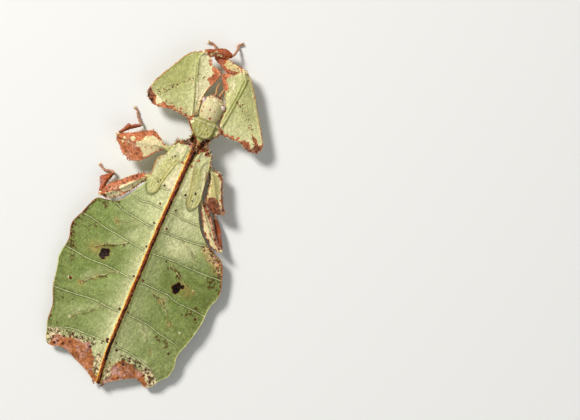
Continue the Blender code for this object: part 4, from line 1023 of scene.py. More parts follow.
REAR_DOTS = [
    (-12.6, -65.9, 0.4), (-12.9, -66.9, 0.35), (-11, -66.4, 0.3), (-14.6, -67.5, 0.35),
    (-16, -67.8, 0.3), (-9.6, -65.7, 0.25), (-17.6, -68.8, 0.4), (-16.6, -70.3, 0.45),
    (-15.9, -69.4, 0.35), (-7.9, -66, 0.25), (5.6, -66.2, 0.35), (5.9, -67, 0.3),
    (9.2, -67.4, 0.25), (10.9, -67.7, 0.3), (12.2, -68.4, 0.3), (12.9, -69.3, 0.35),
    (13.6, -70.6, 0.35), (11.2, -69.4, 0.3), (-3.5, -64.4, 0.3), (-2.3, -64, 0.35), (2, -64.9, 0.3),
    (-14.2, -69.6, 0.4), (-12.4, -68.3, 0.35), (7.6, -66.8, 0.25), (4.4, -68.6, 0.4),
    (-6.4, -67.4, 0.4)]
WHITE_SPOTS = [
    (-15.2, -61.3, 0.42), (16.2, -54, 0.3), (-19.9, -50.9, 0.3), (15.2, -41.1, 0.3),
    (-15.2, -48.6, 0.2), (-13.2, -58.6, 0.2)]
# Each line of freckles: how wide, how dense, and its points.
FRECKLE_BANDS = [
    (2.4, 0.95, [(-22, -28.4), (-23.2, -32), (-24.2, -36), (-23.2, -41), (-22, -42.4)]),
    (1.2, 1, [(-21.3, -44), (-21, -46.8)]), (1.2, 0.9, [(-19.7, -55), (-19.4, -57)]),
    (1.4, 1, [(-18.4, -27), (-17.2, -27.8)]), (1.8, 0.8, [(-17.6, -33.6), (-19.8, -35.2)]),
    (0.8, 1, [(-16.9, -56.8), (-16.4, -56.9)]), (0.8, 0.8, [(-17.4, -63.2), (-17.6, -64.6)]),
    (3.2, 1, [(14.5, -28), (17.5, -30), (19.8, -32), (20.6, -34.4)]),
    (2.6, 0.95, [(18.6, -36), (18.8, -37.6), (20.6, -38)]),
    (1, 0.9, [(6, -37.6), (8, -37.4), (10.4, -39)]),
    (2, 1, [(16, -48.2), (17.2, -47.2), (18.4, -45.8), (19.2, -48.6)]),
    (1, 0.9, [(5.4, -46.4), (8.6, -47.8)]),
    (1.8, 0.8, [(10.6, -57.6), (13.2, -57.6), (14.4, -59.4)]),
    (1.6, 1, [(-20, -68.2), (-17.5, -67.2), (-14, -66.2), (-10, -65.9), (-6, -65.9)]),
    (2.2, 1, [(3.5, -67), (8, -67.3), (12, -68.2), (14.4, -70.4)]),
    (3, 0.85, [(-3, -69.2), (-2.8, -71), (-2.2, -74.6), (1.6, -74.6)]),
    (1.6, 0.8, [(1, -70), (1, -73.6)]), (3.6, 1, [(-19.6, -68), (-17.8, -69.6), (-16.8, -71)]),
    (3.2, 1, [(12, -68.4), (13.8, -70.6), (14, -72)]),
    (1, 0.8, [(-9, -36.4), (-14, -38.8), (-16.8, -40)]),
    (1, 0.8, [(-9.6, -46.6), (-12, -48), (-16, -51.2)]),
    (1.2, 0.8, [(-19.5, -26.6), (-14.5, -25.6)])]

RIGHT_CORNER = [
    (13.5, -27.6), (17, -29), (20.2, -30.6), (21.4, -34.2), (20, -34.4), (18, -32.4), (15.4, -30.6),
    (13.4, -29.2)]
TAN_TAIL = [(-3.4, -69.6), (3.0, -69.4), (2.6, -75.0), (-3.2, -75.0)]
PALE_TAIL = [
    (-6.2, -66.6), (-4.6, -64), (-1.6, -58), (-1, -58), (0.2, -64), (2.4, -68), (1.4, -74),
    (-2.6, -74), (-4.6, -70.6)]
PALE_STRIP = [
    (-19, -66), (-10, -64.8), (10, -65.2), (13, -67.4), (4, -68.6), (0, -70), (-12, -67.8)]
SMOKY_PATCHES = [
    [(-8.6, -67.2), (-6.6, -66.5), (-5.2, -68.6), (-6.6, -69.6)],
    [(2.4, -68.8), (3.8, -67.4), (6.2, -67.8), (5.6, -69.4)]]
CORNER_SPOTS = [(-22.2, -28.6, 0.5), (-22.4, -29.6, 0.4)]
REAR_LINES = [[(-9.8, -71.5), (-7, -70.3), (-3, -69.8)], [(0.5, -70), (4, -70.5), (7, -70.2)]]
KEEL_PLACES = (3, 7, 9, 20, 40, 60, 72)
KEEL_HALF_WIDTHS = (0.78, 0.74, 0.62, 0.6, 0.55, 0.52, 0.54)
UNDERSIDE_PALE = 0.3
print(len(FOLD_LIGHT_AND_SHADE), "folds and", len(FRECKLE_BANDS), "bands of freckles")

# %% The body's markings from its outlines


def mark_body():
    """Store all the body's markings."""
    px, py = wander(*wander(x, y, 1.6, 0.9), 0.5, 0.35)
    near_x, near_y = wander(x, y, 0.8, 0.25)
    off = x - keel_x(y)
    left = off < 0
    rim = rim_gap(side, off)
    seam = behind_joint(x, y)
    keel_half = np.interp(-y, KEEL_PLACES, KEEL_HALF_WIDTHS) + 0.12 * rough(x, y, 0.7, 3.4)
    twig = np.full(x.shape, FAR)
    for vein, faint in zip(PALE_VEINS, VEIN_FAINTNESS):
        twig = np.minimum(twig, curve_reach(x, y, vein) + faint)
    burn = most(*(swell(np.hypot(px - burn_x, py - burn_y), radius)
                  for burn_x, burn_y, radius in BURNS))
    front_left = (x < 0) * ramp(y, -44, -41) * ramp(-y, 24.4, 25.6)
    front_right = (x > 0) * ramp(y, -41, -38) * ramp(-y, 26.4, 27.6)
    rear_left = (x < 0) * ramp(y, -66, -64) * ramp(-y, 52, 58)
    chest_rim = ramp(y, -15.5, -14) * ramp(-y, 6.6, 7.4)
    scorch = np.clip(front_left + front_right + 0.8 * rear_left + 0.7 * chest_rim, 0, 1)

    rear = patch_of(px, py, REAR_BAND, 0.5)
    collar = patch_of(px, py, COLLAR, 0.5)
    tan = patch_of(px, py, [*CREAM_PATCHES, TAN_TAIL], 0.8)
    corner = patch_of(px, py, [RIGHT_CORNER], 1.7)
    rust = most(rear, collar, blots(px, py, SMALL_RUST), 0.3 * tan, 0.36 * corner)
    cream = most(patch_of(px, py, CREAM_PATCHES, 0.6), 0.68 * patch_of(px, py, CREAM_CHEST, 2.2),
                 blots(x, y, WHITE_SPOTS), 0.8 * corner)
    chest = ramp(-y, 1.4, 2.8) * ramp(y, -19.0, -15.0)
    amber = most(0.24 * tan + 0.6 * corner, 0.06 * chest)
    spot = gap_to(near_x, near_y, [*JOINT_DOTS, *REAR_DOTS])
    eye = gap_to(near_x, near_y, EYESPOTS)
    edge_lines = sum(stripe(reach(x, y, line), 0.3, 0.2) for line in REAR_LINES)
    # The first coat of dark is painted shade in the collar's two hollows; the rest are the skin's
    # own dark marks.
    dark = most(
        np.clip(hollow_share(x, y) * 0.8, 0, 0.55),
        0.6 * collar * ramp(rough(x, y, 0.7, 8.2), -0.3, 0.15),
        0.7 * blots(near_x, near_y, CORNER_SPOTS, 0.5),
        0.42 * patch_of(px, py, SMOKY_PATCHES, 1.2),
        0.62 * stripe(np.abs(off), 0.9, 0.4) * ramp(-y, 61.5, 63) * ramp(y, -71, -69)
        * ramp(off, -0.5, -0.2),
        0.52 * edge_lines,
        *(0.5 * stripe(reach(near_x, near_y, dash), 0.3, 0.25) for dash in DARK_DASHES))

    # Painted highlight along the lit left slope of the keel, laid on the pale layer.
    keel_left_highlight = 1.1 * np.exp(-np.clip(-off - 0.5, 0, 30) / 2.6) * left * ramp(-y, 6, 10)
    keel_left_highlight *= np.interp(-y, (8, 20, 60, 70), (0.8, 0.8, 1.0, 0.6))
    front_glow = np.where(left, 0.74, 0.98) * ramp(y, -39, -24) * ramp(-y, 5, 9)
    spread = np.where(left, 15.0, 24.0)
    pale = most(
        keel_left_highlight, 0.3 * np.exp(-(np.clip(off, 0, 30) / 6) ** 2) * (off > 0),
        front_glow * np.clip(1.05 - np.abs(off) / spread, 0, 0.85),
        0.6 * patch_of(px, py, [PALE_TAIL], 1.6), 0.5 * patch_of(px, py, [PALE_STRIP], 1.0))
    streaks = rough((x + 0.3 * np.abs(off)) * 0.3, y * 1.4, 1.0, 9.0)
    rear_glow = np.where(left, 0.08, 0.13) * ramp(-y, 48, 62)
    pale = np.clip(pale + 0.03 + rear_glow + 0.1 * streaks + 0.04 * rough(x, y, 0.8, 4.1), 0, 1)
    pale = np.maximum(pale, chest * np.where(left, 0.78, 0.74))
    # The folds' painted highlights raise the pale layer. Their painted shade lowers it and goes to
    # the line layer.
    shade = np.zeros(x.shape)
    for amount, outline in FOLD_LIGHT_AND_SHADE:
        painted_fold = patch_of(px, py, [outline], 2.2)
        pale = np.clip(pale * (1 + min(amount, 0) * painted_fold) + 0.95 * max(amount, 0) * painted_fold, 0, 1)
        shade = np.maximum(shade, -amount * painted_fold)
    pale = np.where(back > 0, UNDERSIDE_PALE, pale)

    # The line layer: painted shade behind each joint, the olive margins, the folds' painted shade,
    # and a painted shade band just right of the keel.
    line = most(0.16 * ramp(seam, 0.0, 0.3) * swell(seam, 1.1),
                0.3 * np.exp(-rim / 3.5) * ramp(-y, 24, 30), shade,
                0.3 * swell(off - 1.8, 0.9) * ramp(-y, 6, 20))
    # Olive bands: painted shadow around the pads' tips, and lines along the chest ridges.
    for edges, share in ((PAD_SHADES, 0.85), (CHEST_RIDGES, 0.4)):
        line = most(line, *(share * stripe(curve_reach(x, y, edge), 0.6, 0.5) for edge in edges))
    freckle = most(
        (0.16 + 0.3 * np.exp(-rim / 4)) * ramp(-y, 28, 34),
        *(density * stripe(curve_reach(px, py, points), width, width * 0.6)
          for width, density, points in FRECKLE_BANDS))
    freckle = np.where(rear > 0.5, 0.36, freckle)
    freckle = np.maximum(freckle, 0.9 * patch_of(px, py, COLLAR, 0.6))
    shown = 1 - back
    under = FAR * back
    note(body_skin, rust=rust * shown, cream=cream * shown, dark=dark * shown, pale=pale,
         line=line * shown, freckle=freckle * shown, amber=amber * shown)
    measure(body_skin, keel=off / keel_half, seam=seam + under, twig=twig + under,
            rim=rim, spot=spot + under, eye=eye + under, burn=burn * shown, scorch=scorch,
            keeled=ramp(-y, 2.8, 3.6) * shown)


mark_body()
dress(body_skin, abdomen_cuticle, "leaf_green", "mesothorax", "metathorax", "abdomen")
print("the body is marked")

# %% [markdown]
# ## The shield behind the head
#
# The first thorax ring is a small shield, wide in front and narrow at the waist, where a
# yellow tongue runs back between the spiny ridges. Its middle is a raised cushion with a
# groove down its centre line and a thick rim, and its flanks are thin.

# %% The shield
SHIELD_LEFT = [
    (-2.2, 6.4), (-4.5, 5), (-4.2, 4.1), (-3, 2.8), (-1.9, 1.6), (-0.5, 0.7), (0.2, -0.2),
    (0.4, -1.2), (0.55, -2.2)]
SHIELD_MIDDLE = [
    (0.8, 6.9), (0.8, 5.6), (0.85, 4.4), (0.9, 3.1), (0.95, 1.9), (0.95, 0.8), (0.9, -0.2),
    (0.85, -1.2), (0.8, -2.3)]
SHIELD_RIGHT = [
    (3.7, 6.2), (5.7, 4.5), (5.4, 3.4), (4.3, 2.2), (3.2, 1.4), (2, 0.6), (1.5, -0.2), (1.25, -1.2),
    (1.05, -2.2)]
CUSHION = (0.8, 4.0)
CUSHION_RADII = (2.95, 3.35)
CUSHION_POWER = 2.5
PITS = [(-0.4, 3.7), (2.0, 3.6), (0.0, 2.2), (1.8, 2.1)]
SHIELD_STEPS = 12
SHIELD_COLUMNS = 90


def cushion_reach(x, y):
    """How far out a place is, 1 at the cushion's rim, which is open to the front."""
    across = np.abs(x - CUSHION[0]) / CUSHION_RADII[0]
    behind = np.clip(CUSHION[1] - y, 0, 9) / CUSHION_RADII[1]
    return (across ** CUSHION_POWER + behind ** CUSHION_POWER) ** (1 / CUSHION_POWER)


def shield_top(x, y, side, along):
    """A rounded cushion with a thick rim between thin flanks."""
    z = roof(x, y) + 0.1 + 0.25 * (1 - side * side)
    out = cushion_reach(x, y)
    inside = ramp(1.08 - out, 0.0, 0.2)
    z += 0.5 * inside + 0.22 * swell(out - 0.9, 0.08)
    z += 0.16 * swell(y - 5.5, 0.25) - 0.14 * swell(y - 5.05, 0.2)
    z -= 0.1 * swell(x - 0.9, 0.2) * inside
    for pit_x, pit_y in PITS:
        gap = np.hypot(x - pit_x, y - pit_y)
        z += 0.05 * swell(gap - 0.6, 0.2) - 0.1 * swell(gap, 0.4)
    z += 0.1 * rough(x, y, 0.8, 3.0) - 1.3 * ramp(y, 5.6, 6.4)
    return x, y, z


def shield_depth(x, y, side, along):
    """Thick in the middle and thin at the margins."""
    return 0.6 + 2.4 * (1 - side * side) ** 1.5 * ramp(y, -2.0, 2.0)


shield, x, y, side, along, back = plate(
    "shield", SHIELD_LEFT, SHIELD_MIDDLE, SHIELD_RIGHT, shield_top, shield_depth,
    SHIELD_STEPS, SHIELD_COLUMNS, saw=(0.4, 0.4))
out = cushion_reach(x, y)
px, py = wander(x, y, 0.8, 0.4)
speckle = rough(x, y, 0.6, 2.0)
flank = ramp(np.abs(side), 0.84, 0.92) * ramp(-y, -5.4, -4.9) * ramp(y, 0.0, 0.8)
tongue = ramp(-y, -0.3, 0.7)
note(shield,
     rust=np.maximum(flank * (0.75 + 0.5 * speckle), tongue * (0.62 + speckle)),
     cream=0.7 * blots(px, py, [(-3.3, 4.6, 0.8), (4.6, 4.0, 0.5)], 0.8),
     dark=np.maximum(0.7 * flank * ramp(speckle, 0.0, 0.25), 0.5 * tongue * ramp(speckle, 0, 0.2)),
     pale=np.clip(0.12 + 0.35 * rough(x, y, 1.1, 7.0) + 0.2 * speckle
                  + 0.4 * swell(y - 5.5, 0.25), 0, 1) * (1 - back * 0.5),
     line=np.maximum(0.65 * swell(out - 0.95, 0.1) * (y < 5.2),
                     0.3 * ramp(rough(x, y, 0.9, 5.0), 0.05, 0.35) * (out < 0.85)
                     + 0.45 * blots(px, py, [(-0.4, 3.7, 0.5), (2.0, 3.6, 0.5)], 0.5)
                     + 0.3 * stripe(np.abs(px - 0.9), 0.3, 0.3) * (out < 0.85)),
     freckle=0.35)
dress(shield, shield_cuticle, "pad_green", "prothorax")
print("shield faces", len(shield.data.polygons))

# %% [markdown]
# ## Spines of the collar
#
# The ridge between the shield and the wing pads is set with short uneven thorns. One cone is
# added for each, moved to its root and turned to its lean, and all are joined. The draw is
# seeded, so they stand the same way each time.

# %% Thorns
THORN_LENGTH = 0.95
THORN_RADIUS = 0.19
THORN_SIDES = 7
# Each row of thorns: first root, last root, lean, how many, and size.
THORN_ROWS = [
    ((-4.2, 4.2), (-2.4, 1.6), (-1, -0.4, 0.2), 7, 0.6),
    ((5.4, 3.6), (3.6, 1.3), (1, -0.4, 0.2), 7, 0.6),
    ((-2, 1.2), (-2.1, -1), (-1, 0.2, 0.2), 9, 0.8),
    ((-2.2, -1.1), (-5.3, -2.3), (-0.45, 1, 0.2), 14, 1),
    ((-5.3, -2.4), (-5.9, -4.8), (-1, 0.25, 0.1), 8, 0.9),
    ((3.6, 0.9), (3.5, -1), (1, 0.2, 0.2), 8, 0.8),
    ((3.6, -1.1), (5.4, -2.4), (0.35, 1, 0.2), 9, 1),
    ((5.6, -2.7), (6.4, -5.8), (1, 0.25, 0.1), 11, 0.9),
    ((0.2, -0.8), (-0.5, -5.2), (-0.3, 0.2, 1), 12, 0.7),
    ((1.5, -1.2), (1.2, -5.2), (0.3, 0.2, 1), 12, 0.7),
    ((-1, -1.4), (-4.6, -2.9), (-0.3, 0.6, 1), 10, 0.8),
    ((2.4, -2), (5.2, -3.4), (0.3, 0.6, 1), 9, 0.8),
    ((-1.6, 0.2), (-1.4, -2), (-0.6, 0.2, 1), 5, 0.7),
    ((3.2, 0.2), (2.6, -2.2), (0.6, 0.2, 1), 5, 0.7),
    ((0.4, -6.4), (0.2, -15), (0, 0.1, 1), 14, 0.4),
    ((-0.3, -7.6), (-1.4, -7.3), (-1, 0.3, 0.5), 3, 0.7),
    ((0.9, -7.7), (1.9, -7.6), (1, 0.3, 0.5), 3, 0.7)]
thorn_draw = random.Random(7)


def cone(root, way, length, radius):
    """One thorn from its root along its way."""
    deselect()
    bpy.ops.mesh.primitive_cone_add(vertices=THORN_SIDES, radius1=1, radius2=0.12, depth=1)
    thorn = bpy.context.object
    turn = Vector(way).to_track_quat("Z", "Y")
    places = points_of(thorn) * (radius, radius, length) + (0, 0, length * 0.3)
    turned = np.array([turn @ Vector(place) for place in places])
    set_points(thorn, to_frame(turned + np.array(root)))
    light = thorn_draw.random() < 0.25
    note(thorn, rust=0.2 if light else 1.0, cream=0.8, freckle=0.5,
         dark=0.0 if light else 0.62 * thorn_draw.random())
    return thorn


def join(pieces, name):
    """Join pieces into the first one."""
    deselect()
    for piece in pieces:
        piece.select_set(True)
    bpy.context.view_layer.objects.active = pieces[0]
    bpy.ops.object.join()
    pieces[0].name = name
    return pieces[0]


thorns = []
for first, last, lean, count, size in THORN_ROWS:
    for place in np.linspace(0, 1, count):
        root = np.array(first) * (1 - place) + np.array(last) * place
        root = root + [thorn_draw.gauss(0, 0.12), thorn_draw.gauss(0, 0.12)]
        height = float(back_height(np.array([root[0]]), np.array([root[1]]))[0])
        height += 0.35 * (lean[2] >= 1.0) * (abs(root[0] - 0.4) < 0.9) - 0.1
        way = np.array(lean) + [thorn_draw.uniform(-0.35, 0.35) for _ in range(3)]
        length = THORN_LENGTH * size * thorn_draw.uniform(0.6, 1.25)
        thorns.append(cone((*root, height), way, length, THORN_RADIUS * size))
spines = join(thorns, "collar_thorns")
only(spines)
finish_faces()
dress(spines, shin_cuticle, "rust_brown")
print(len(thorns), "thorns")

# %% [markdown]
# ## Wing pads
#
# A nearly grown female has short wing pads, flat flaps that lie over the rear thorax. They
# are so thin that mostly their folded inner rims show, as two olive ridges each, with faint
# creases that run to the tip.

# %% Wing pads
PADS = {
    "left": (
        [(-5.0, -5.6), (-7.0, -7.6), (-8.4, -9.8), (-8.65, -12.2), (-8.5, -14.6), (-8.3, -16.6),
         (-8.0, -18.3), (-7.2, -19.2)],
        [(-1.2, -4.6), (-1.9, -6.9), (-2.8, -9.4), (-3.6, -11.8), (-4.3, -14.2), (-4.8, -16.4),
         (-5.2, -18.2), (-6.2, -19.2)]),
    "right": (
        [(1.6, -4.8), (2.1, -7.3), (2.6, -10.0), (3.1, -12.4), (3.6, -14.8), (3.9, -16.6),
         (4.4, -18.3), (5.3, -19.3)],
        [(5.2, -5.8), (6.2, -7.7), (6.8, -9.6), (7.2, -12.0), (7.5, -14.4), (7.6, -16.2),
         (7.2, -18.0), (6.3, -19.2)]),
}
PAD_STEPS = 14
PAD_COLUMNS = 60
PAD_THICKNESS = 0.3
for name, (left, right) in PADS.items():
    inner = 1 if name == "left" else -1
    rib = [((a[0] + b[0]) / 2, (a[1] + b[1]) / 2) for a, b in zip(left, right)]

    def pad_top(x, y, side, along):
        """The pad grows out of the back and has two folds beside its inner rim."""
        z = back_height(x, y) - 0.25 + 0.36 * ramp(along, 0.0, 0.2) + 0.1 * ramp(along, 0.3, 1)
        z += 0.11 * swell(side * inner - 0.93, 0.1) + 0.08 * swell(side * inner - 0.6, 0.1)
        z += 0.05 * swell(side * inner + 0.92, 0.08)
        z += 0.12 * rough(side * 5, along * 3, 1.3, 4.0) + 0.07 * rough(x, y, 0.9, 2.0)
        z -= 0.14 * np.maximum(ramp(side * inner, 0.93, 1.0), ramp(along, 0.93, 1.0))
        return x, y, z

    def pad_depth(x, y, side, along):
        """A thin flap."""
        return PAD_THICKNESS + 0.3 * swell(along, 0.2)

    pad, x, y, side, along, back = plate("wing_pad_skin_" + name, left, rib, right, pad_top,
                                         pad_depth, PAD_STEPS, PAD_COLUMNS, saw=(0.12, 0.12))
    px, py = wander(x, y, 0.8, 0.3)
    folds = swell(side * inner - 0.95, 0.06) + 0.8 * swell(side * inner - 0.6, 0.05)
    streaks = rough(side * 7, along * 2.4, 1.0, 6.0)
    outer_rim = ramp(-side * inner, 0.9, 0.97)
    # The line layer's darkening of each pad's last stretch before the tip is painted shadow under
    # the tip.
    note(pad,
         rust=0.9 * outer_rim * ramp(y, -15.5, -14.5) * np.clip(0.8 + rough(x, y, 0.6, 3), 0, 1),
         dark=0.8 * blots(px, py, [(-5.9, -15.4, 0.3), (-5.3, -14.6, 0.2), (5.5, -14.6, 0.34),
                                   (5.5, -17.0, 0.3), (6.1, -12.6, 0.24), (-4.6, -7.4, 0.26)]),
         pale=np.clip(0.22 + 0.35 * streaks + 0.25 * rough(x, y, 0.9, 2.0)
                      + 0.45 * swell(side * inner + 0.7, 0.3) * ramp(y, -16, -12), 0, 1),
         amber=0.32 * folds * ramp(along, 0.02, 0.2),
         line=np.maximum(0.42 * folds * ramp(along, 0.02, 0.2) + 0.4 * ramp(along, 0.95, 1.0),
                         0.5 * ramp(streaks, 0.15, 0.5)),
         freckle=0.4)
    dress(pad, pad_cuticle, "pad_green", "wing_pad_" + name)
print("two wing pads")

# %% [markdown]
# ## The head
#
# The head is a smooth rounded capsule, pale with three red dots, and it sits in the notch of
# the two front thighs. A sphere is turned so that its poles face front and rear, and each of
# its rings is given the head's real width, top and underside.

# %% The head capsule
HEAD_X = 0.6
HEAD_SEGMENTS = (120, 84)
EYE_SEGMENTS = (40, 28)
HEAD_RINGS = [
    (6.05, 1.6, 5.7, 3.6), (6.5, 2.6, 6.3, 2.9), (8, 3.1, 6.9, 2.5), (10, 3.25, 7.1, 2.4),
    (11.6, 3.2, 6.8, 2.4), (12.7, 2.7, 6.1, 2.7), (13.4, 1.9, 5.5, 3.2), (13.7, 1, 5, 3.8)]
EYES = {"left": (-2.25, 11.6, 5.2), "right": (3.45, 11.4, 5.2)}
EYE_RADII = (0.85, 1.05, 0.9)


head = unit_ball("head_skin", *HEAD_SEGMENTS)
bpy.ops.object.mode_set(mode="EDIT")
bpy.ops.mesh.select_all(action="SELECT")
bpy.ops.transform.rotate(value=math.radians(90), orient_axis="X", center_override=(0, 0, 0))
bpy.ops.object.mode_set(mode="OBJECT")
ball = points_of(head)
rings = smooth(HEAD_RINGS, 8)
at = np.arccos(np.clip(-ball[:, 1], -1, 1)) / math.pi * (len(rings) - 1)
y, half_width, top, bottom = (np.interp(at, np.arange(len(rings)), rings[:, part])
                              for part in range(4))
ring_radius = np.hypot(ball[:, 0], ball[:, 2])
across, up = (np.divide(part, ring_radius, out=np.zeros_like(part), where=ring_radius > 1e-6)
              for part in (ball[:, 0], ball[:, 2]))
pole = np.clip(ring_radius * 6, 0, 1)
x = HEAD_X + half_width * across * pole
z = (top + bottom) / 2 + (top - bottom) / 2 * up * pole
brow = np.hypot(x - 0.6, y - 12.7)
z += (z > 5) * (0.16 * swell(brow, 0.7) - 0.2 * swell(y - 12.2, 0.16) * (np.abs(x - 0.6) < 1.4)
                - 0.1 * swell(x - 0.65, 0.14) * (y < 12) + 0.07 * rough(x, y, 0.45, 2.0)
                + 0.12 * swell(np.hypot(x + 0.7, y - 10.7), 0.8)
                + 0.12 * swell(np.hypot(x - 1.9, y - 10.7), 0.8))
set_points(head, to_frame(np.column_stack([x, y, z])))
bpy.ops.object.shade_smooth()
px, py = wander(x, y, 0.5, 0.2)
HEAD_DOTS = [
    (0.4, 9.5, 0.24), (1.9, 9.4, 0.22), (1.2, 7.1, 0.36), (1.45, 7.3, 0.2), (-1.8, 8.3, 0.24),
    (-1.75, 9.7, 0.22), (-1.6, 11, 0.14)]
LIPS = [
    (-1.3, 12.9, 0.25), (-0.5, 13.2, 0.2), (0.6, 13.3, 0.2), (1.7, 13.1, 0.22), (2.4, 12.6, 0.2)]
cheek = ramp(np.abs(x - HEAD_X) / np.maximum(half_width, 0.1), 0.9, 0.99)
note(head,
     rust=np.maximum(blots(px, py, HEAD_DOTS, 0.2) * (z > 4.5), 0.9 * blots(px, py, LIPS, 0.3)),
     cream=0.85 * np.maximum(swell(brow, 0.8) * (z > 5), blots(px, py, [(-1.5, 12.3, 0.35),
                                                                        (2.7, 12.1, 0.35)], 0.4)),
     pale=np.clip(0.32 + 0.16 * rough(x, y, 0.9, 1.0) + 0.25 * swell(np.hypot(x + 0.6, y - 10), 2),
                  0, 1),
     line=np.maximum(0.9 * ramp(-y, -6.55, -6.3), 0.65 * cheek * (y < 12.4)),
     freckle=0.25)
dress(head, head_cuticle, "pale_green", "head", "mouthparts")
print("head faces", len(head.data.polygons))

# %% [markdown]
# ## Eyes
#
# The eyes are small and bulge at the front corners of the head. They are milky pink with a
# brown patch, and have the clear gloss of a lens. A sphere is squeezed to the eye's three
# radii. Its fine facets are far smaller than a pixel, so they are a light bump.

# %% Eyes
EYE_PATCH = 1.1
FACET = 0.12


def eye_cuticle():
    """A milky glossy eye with a brown patch."""
    material = bpy.data.materials.new("compound_eye")
    material.use_nodes = True
    tree = material.node_tree
    shader = tree.nodes["Principled BSDF"]
    place = add(tree, "TexCoord", give="Object")
    cloud = add(tree, "TexNoise", None, Vector=place, Scale=1 / (EYE_PATCH * MM), Detail=3.0)
    colour = paint(tree, hex_colour("#E4CDBC"), ("#7A4630", (cloud, 0.5, 0.56)))
    tree.links.new(colour, shader.inputs["Base Color"])
    facets = add(tree, "TexVoronoi", None, Vector=place, Scale=1 / (FACET * MM))
    relief = add(tree, "Bump", None, Height=facets, Strength=0.2, Distance=0.02 * MM)
    tree.links.new(relief, shader.inputs["Normal"])
    shader.inputs["Roughness"].default_value = 0.22
    shader.inputs["IOR"].default_value = 1.5
    return material


eye_material = eye_cuticle()
for name, centre in EYES.items():
    eye = unit_ball("eye_lens_" + name, *EYE_SEGMENTS)
    place_ball(eye, EYE_RADII, centre)
    dress(eye, eye_material, "eye_pink", "eye_" + name)
print("two eyes")

# %% [markdown]
# ## Feelers
#
# A female's antennae are short, with a thick first joint and small beads after it. Each is a
# curve whose radius swells at every bead, turned to a mesh.

# %% A beaded wire


def wire(name, path, radii, beads, swelling, sides=4, steps=14):
    """A tube along a smooth path that swells at each bead, as a mesh."""
    line = smooth([(*point, radius) for point, radius in zip(path, radii)], steps)
    beat = np.abs(np.sin(np.linspace(0, math.pi * beads, len(line))))
    radius = line[:, 3] * (1 - swelling + swelling * beat)
    deselect()
    bpy.ops.curve.primitive_bezier_curve_add()
    item = bpy.context.object
    item.name = name
    item.data.splines.clear()
    spline = item.data.splines.new("POLY")
    spline.points.add(len(line) - 1)
    for point, place, size in zip(spline.points, to_frame(line[:, :3]), radius):
        point.co = (*place, 1)
        point.radius = size
    item.location = (0, 0, 0)
    item.data.bevel_depth = MM
    item.data.bevel_resolution = sides
    item.data.use_fill_caps = True
    only(item)
    bpy.ops.object.convert(target="MESH")
    piece = bpy.context.object
    places = points_of(piece)
    places[:, 2] = np.maximum(places[:, 2], 0.0)
    set_points(piece, places)
    finish_faces()
    return piece


def places_of(piece):
    """The piece's points in millimetres from the waist."""
    return (points_of(piece) / MM - WAIST).T


print("wires can be made")

# %% The feelers
ANTENNAE = {
    "left": [(0.0, 13.3, 4.9), (0.15, 14.6, 5.1), (-0.2, 16.2, 5.3), (-0.05, 17.7, 5.4)],
    "right": [(1.25, 13.3, 4.9), (1.4, 14.5, 5.1), (1.65, 15.4, 5.2), (1.9, 16.3, 5.3)],
}
feeler_cuticle = cuticle("feeler_cuticle", "#CC8C50", "#B4703C", rust="#8A4A2A",
                         rust_deep="#6B3420", bump=0.05)
for name, path in ANTENNAE.items():
    feeler = wire("feeler_" + name, path, (0.52, 0.38, 0.32, 0.22), 8, 0.2)
    x, y, z = places_of(feeler)
    note(feeler, rust=ramp(-y, -14.5, -13.8), pale=0.15 + 0.2 * rough(x, y, 0.5, 1.0))
    dress(feeler, feeler_cuticle, "antenna_orange", "antenna_" + name)
print("two feelers")

# %% [markdown]
# ## Palps
#
# Two pairs of short jointed palps hang in front of the mouth, below the feelers.

# %% Palps
palps = []
for way in (-1, 1):
    for reach_out, low in ((1.5, 3.2), (0.7, 3.0)):
        start = (HEAD_X + way * reach_out, 12.9, low + 0.6)
        middle = (HEAD_X + way * (reach_out + 0.3), 13.8, low + 0.3)
        end = (HEAD_X + way * (reach_out - 0.1), 14.4, low - 0.3)
        palps.append(wire("palp", (start, middle, end), (0.24, 0.26, 0.16), 3, 0.2, steps=8))
palp_set = join(palps, "palps")
note(palp_set, rust=0.0, pale=0.3)
dress(palp_set, feeler_cuticle, "antenna_orange")
print(len(palps), "palps")

# %% [markdown]
# ## Legs
#
# Each thigh is a thin green lobe on both sides of a stout rib, and each shin is a narrower
# brown one. The lobes carry rust and cream patches that break up their outline. All six are
# made by the same loop, each from its own outline, because no two are folded alike.

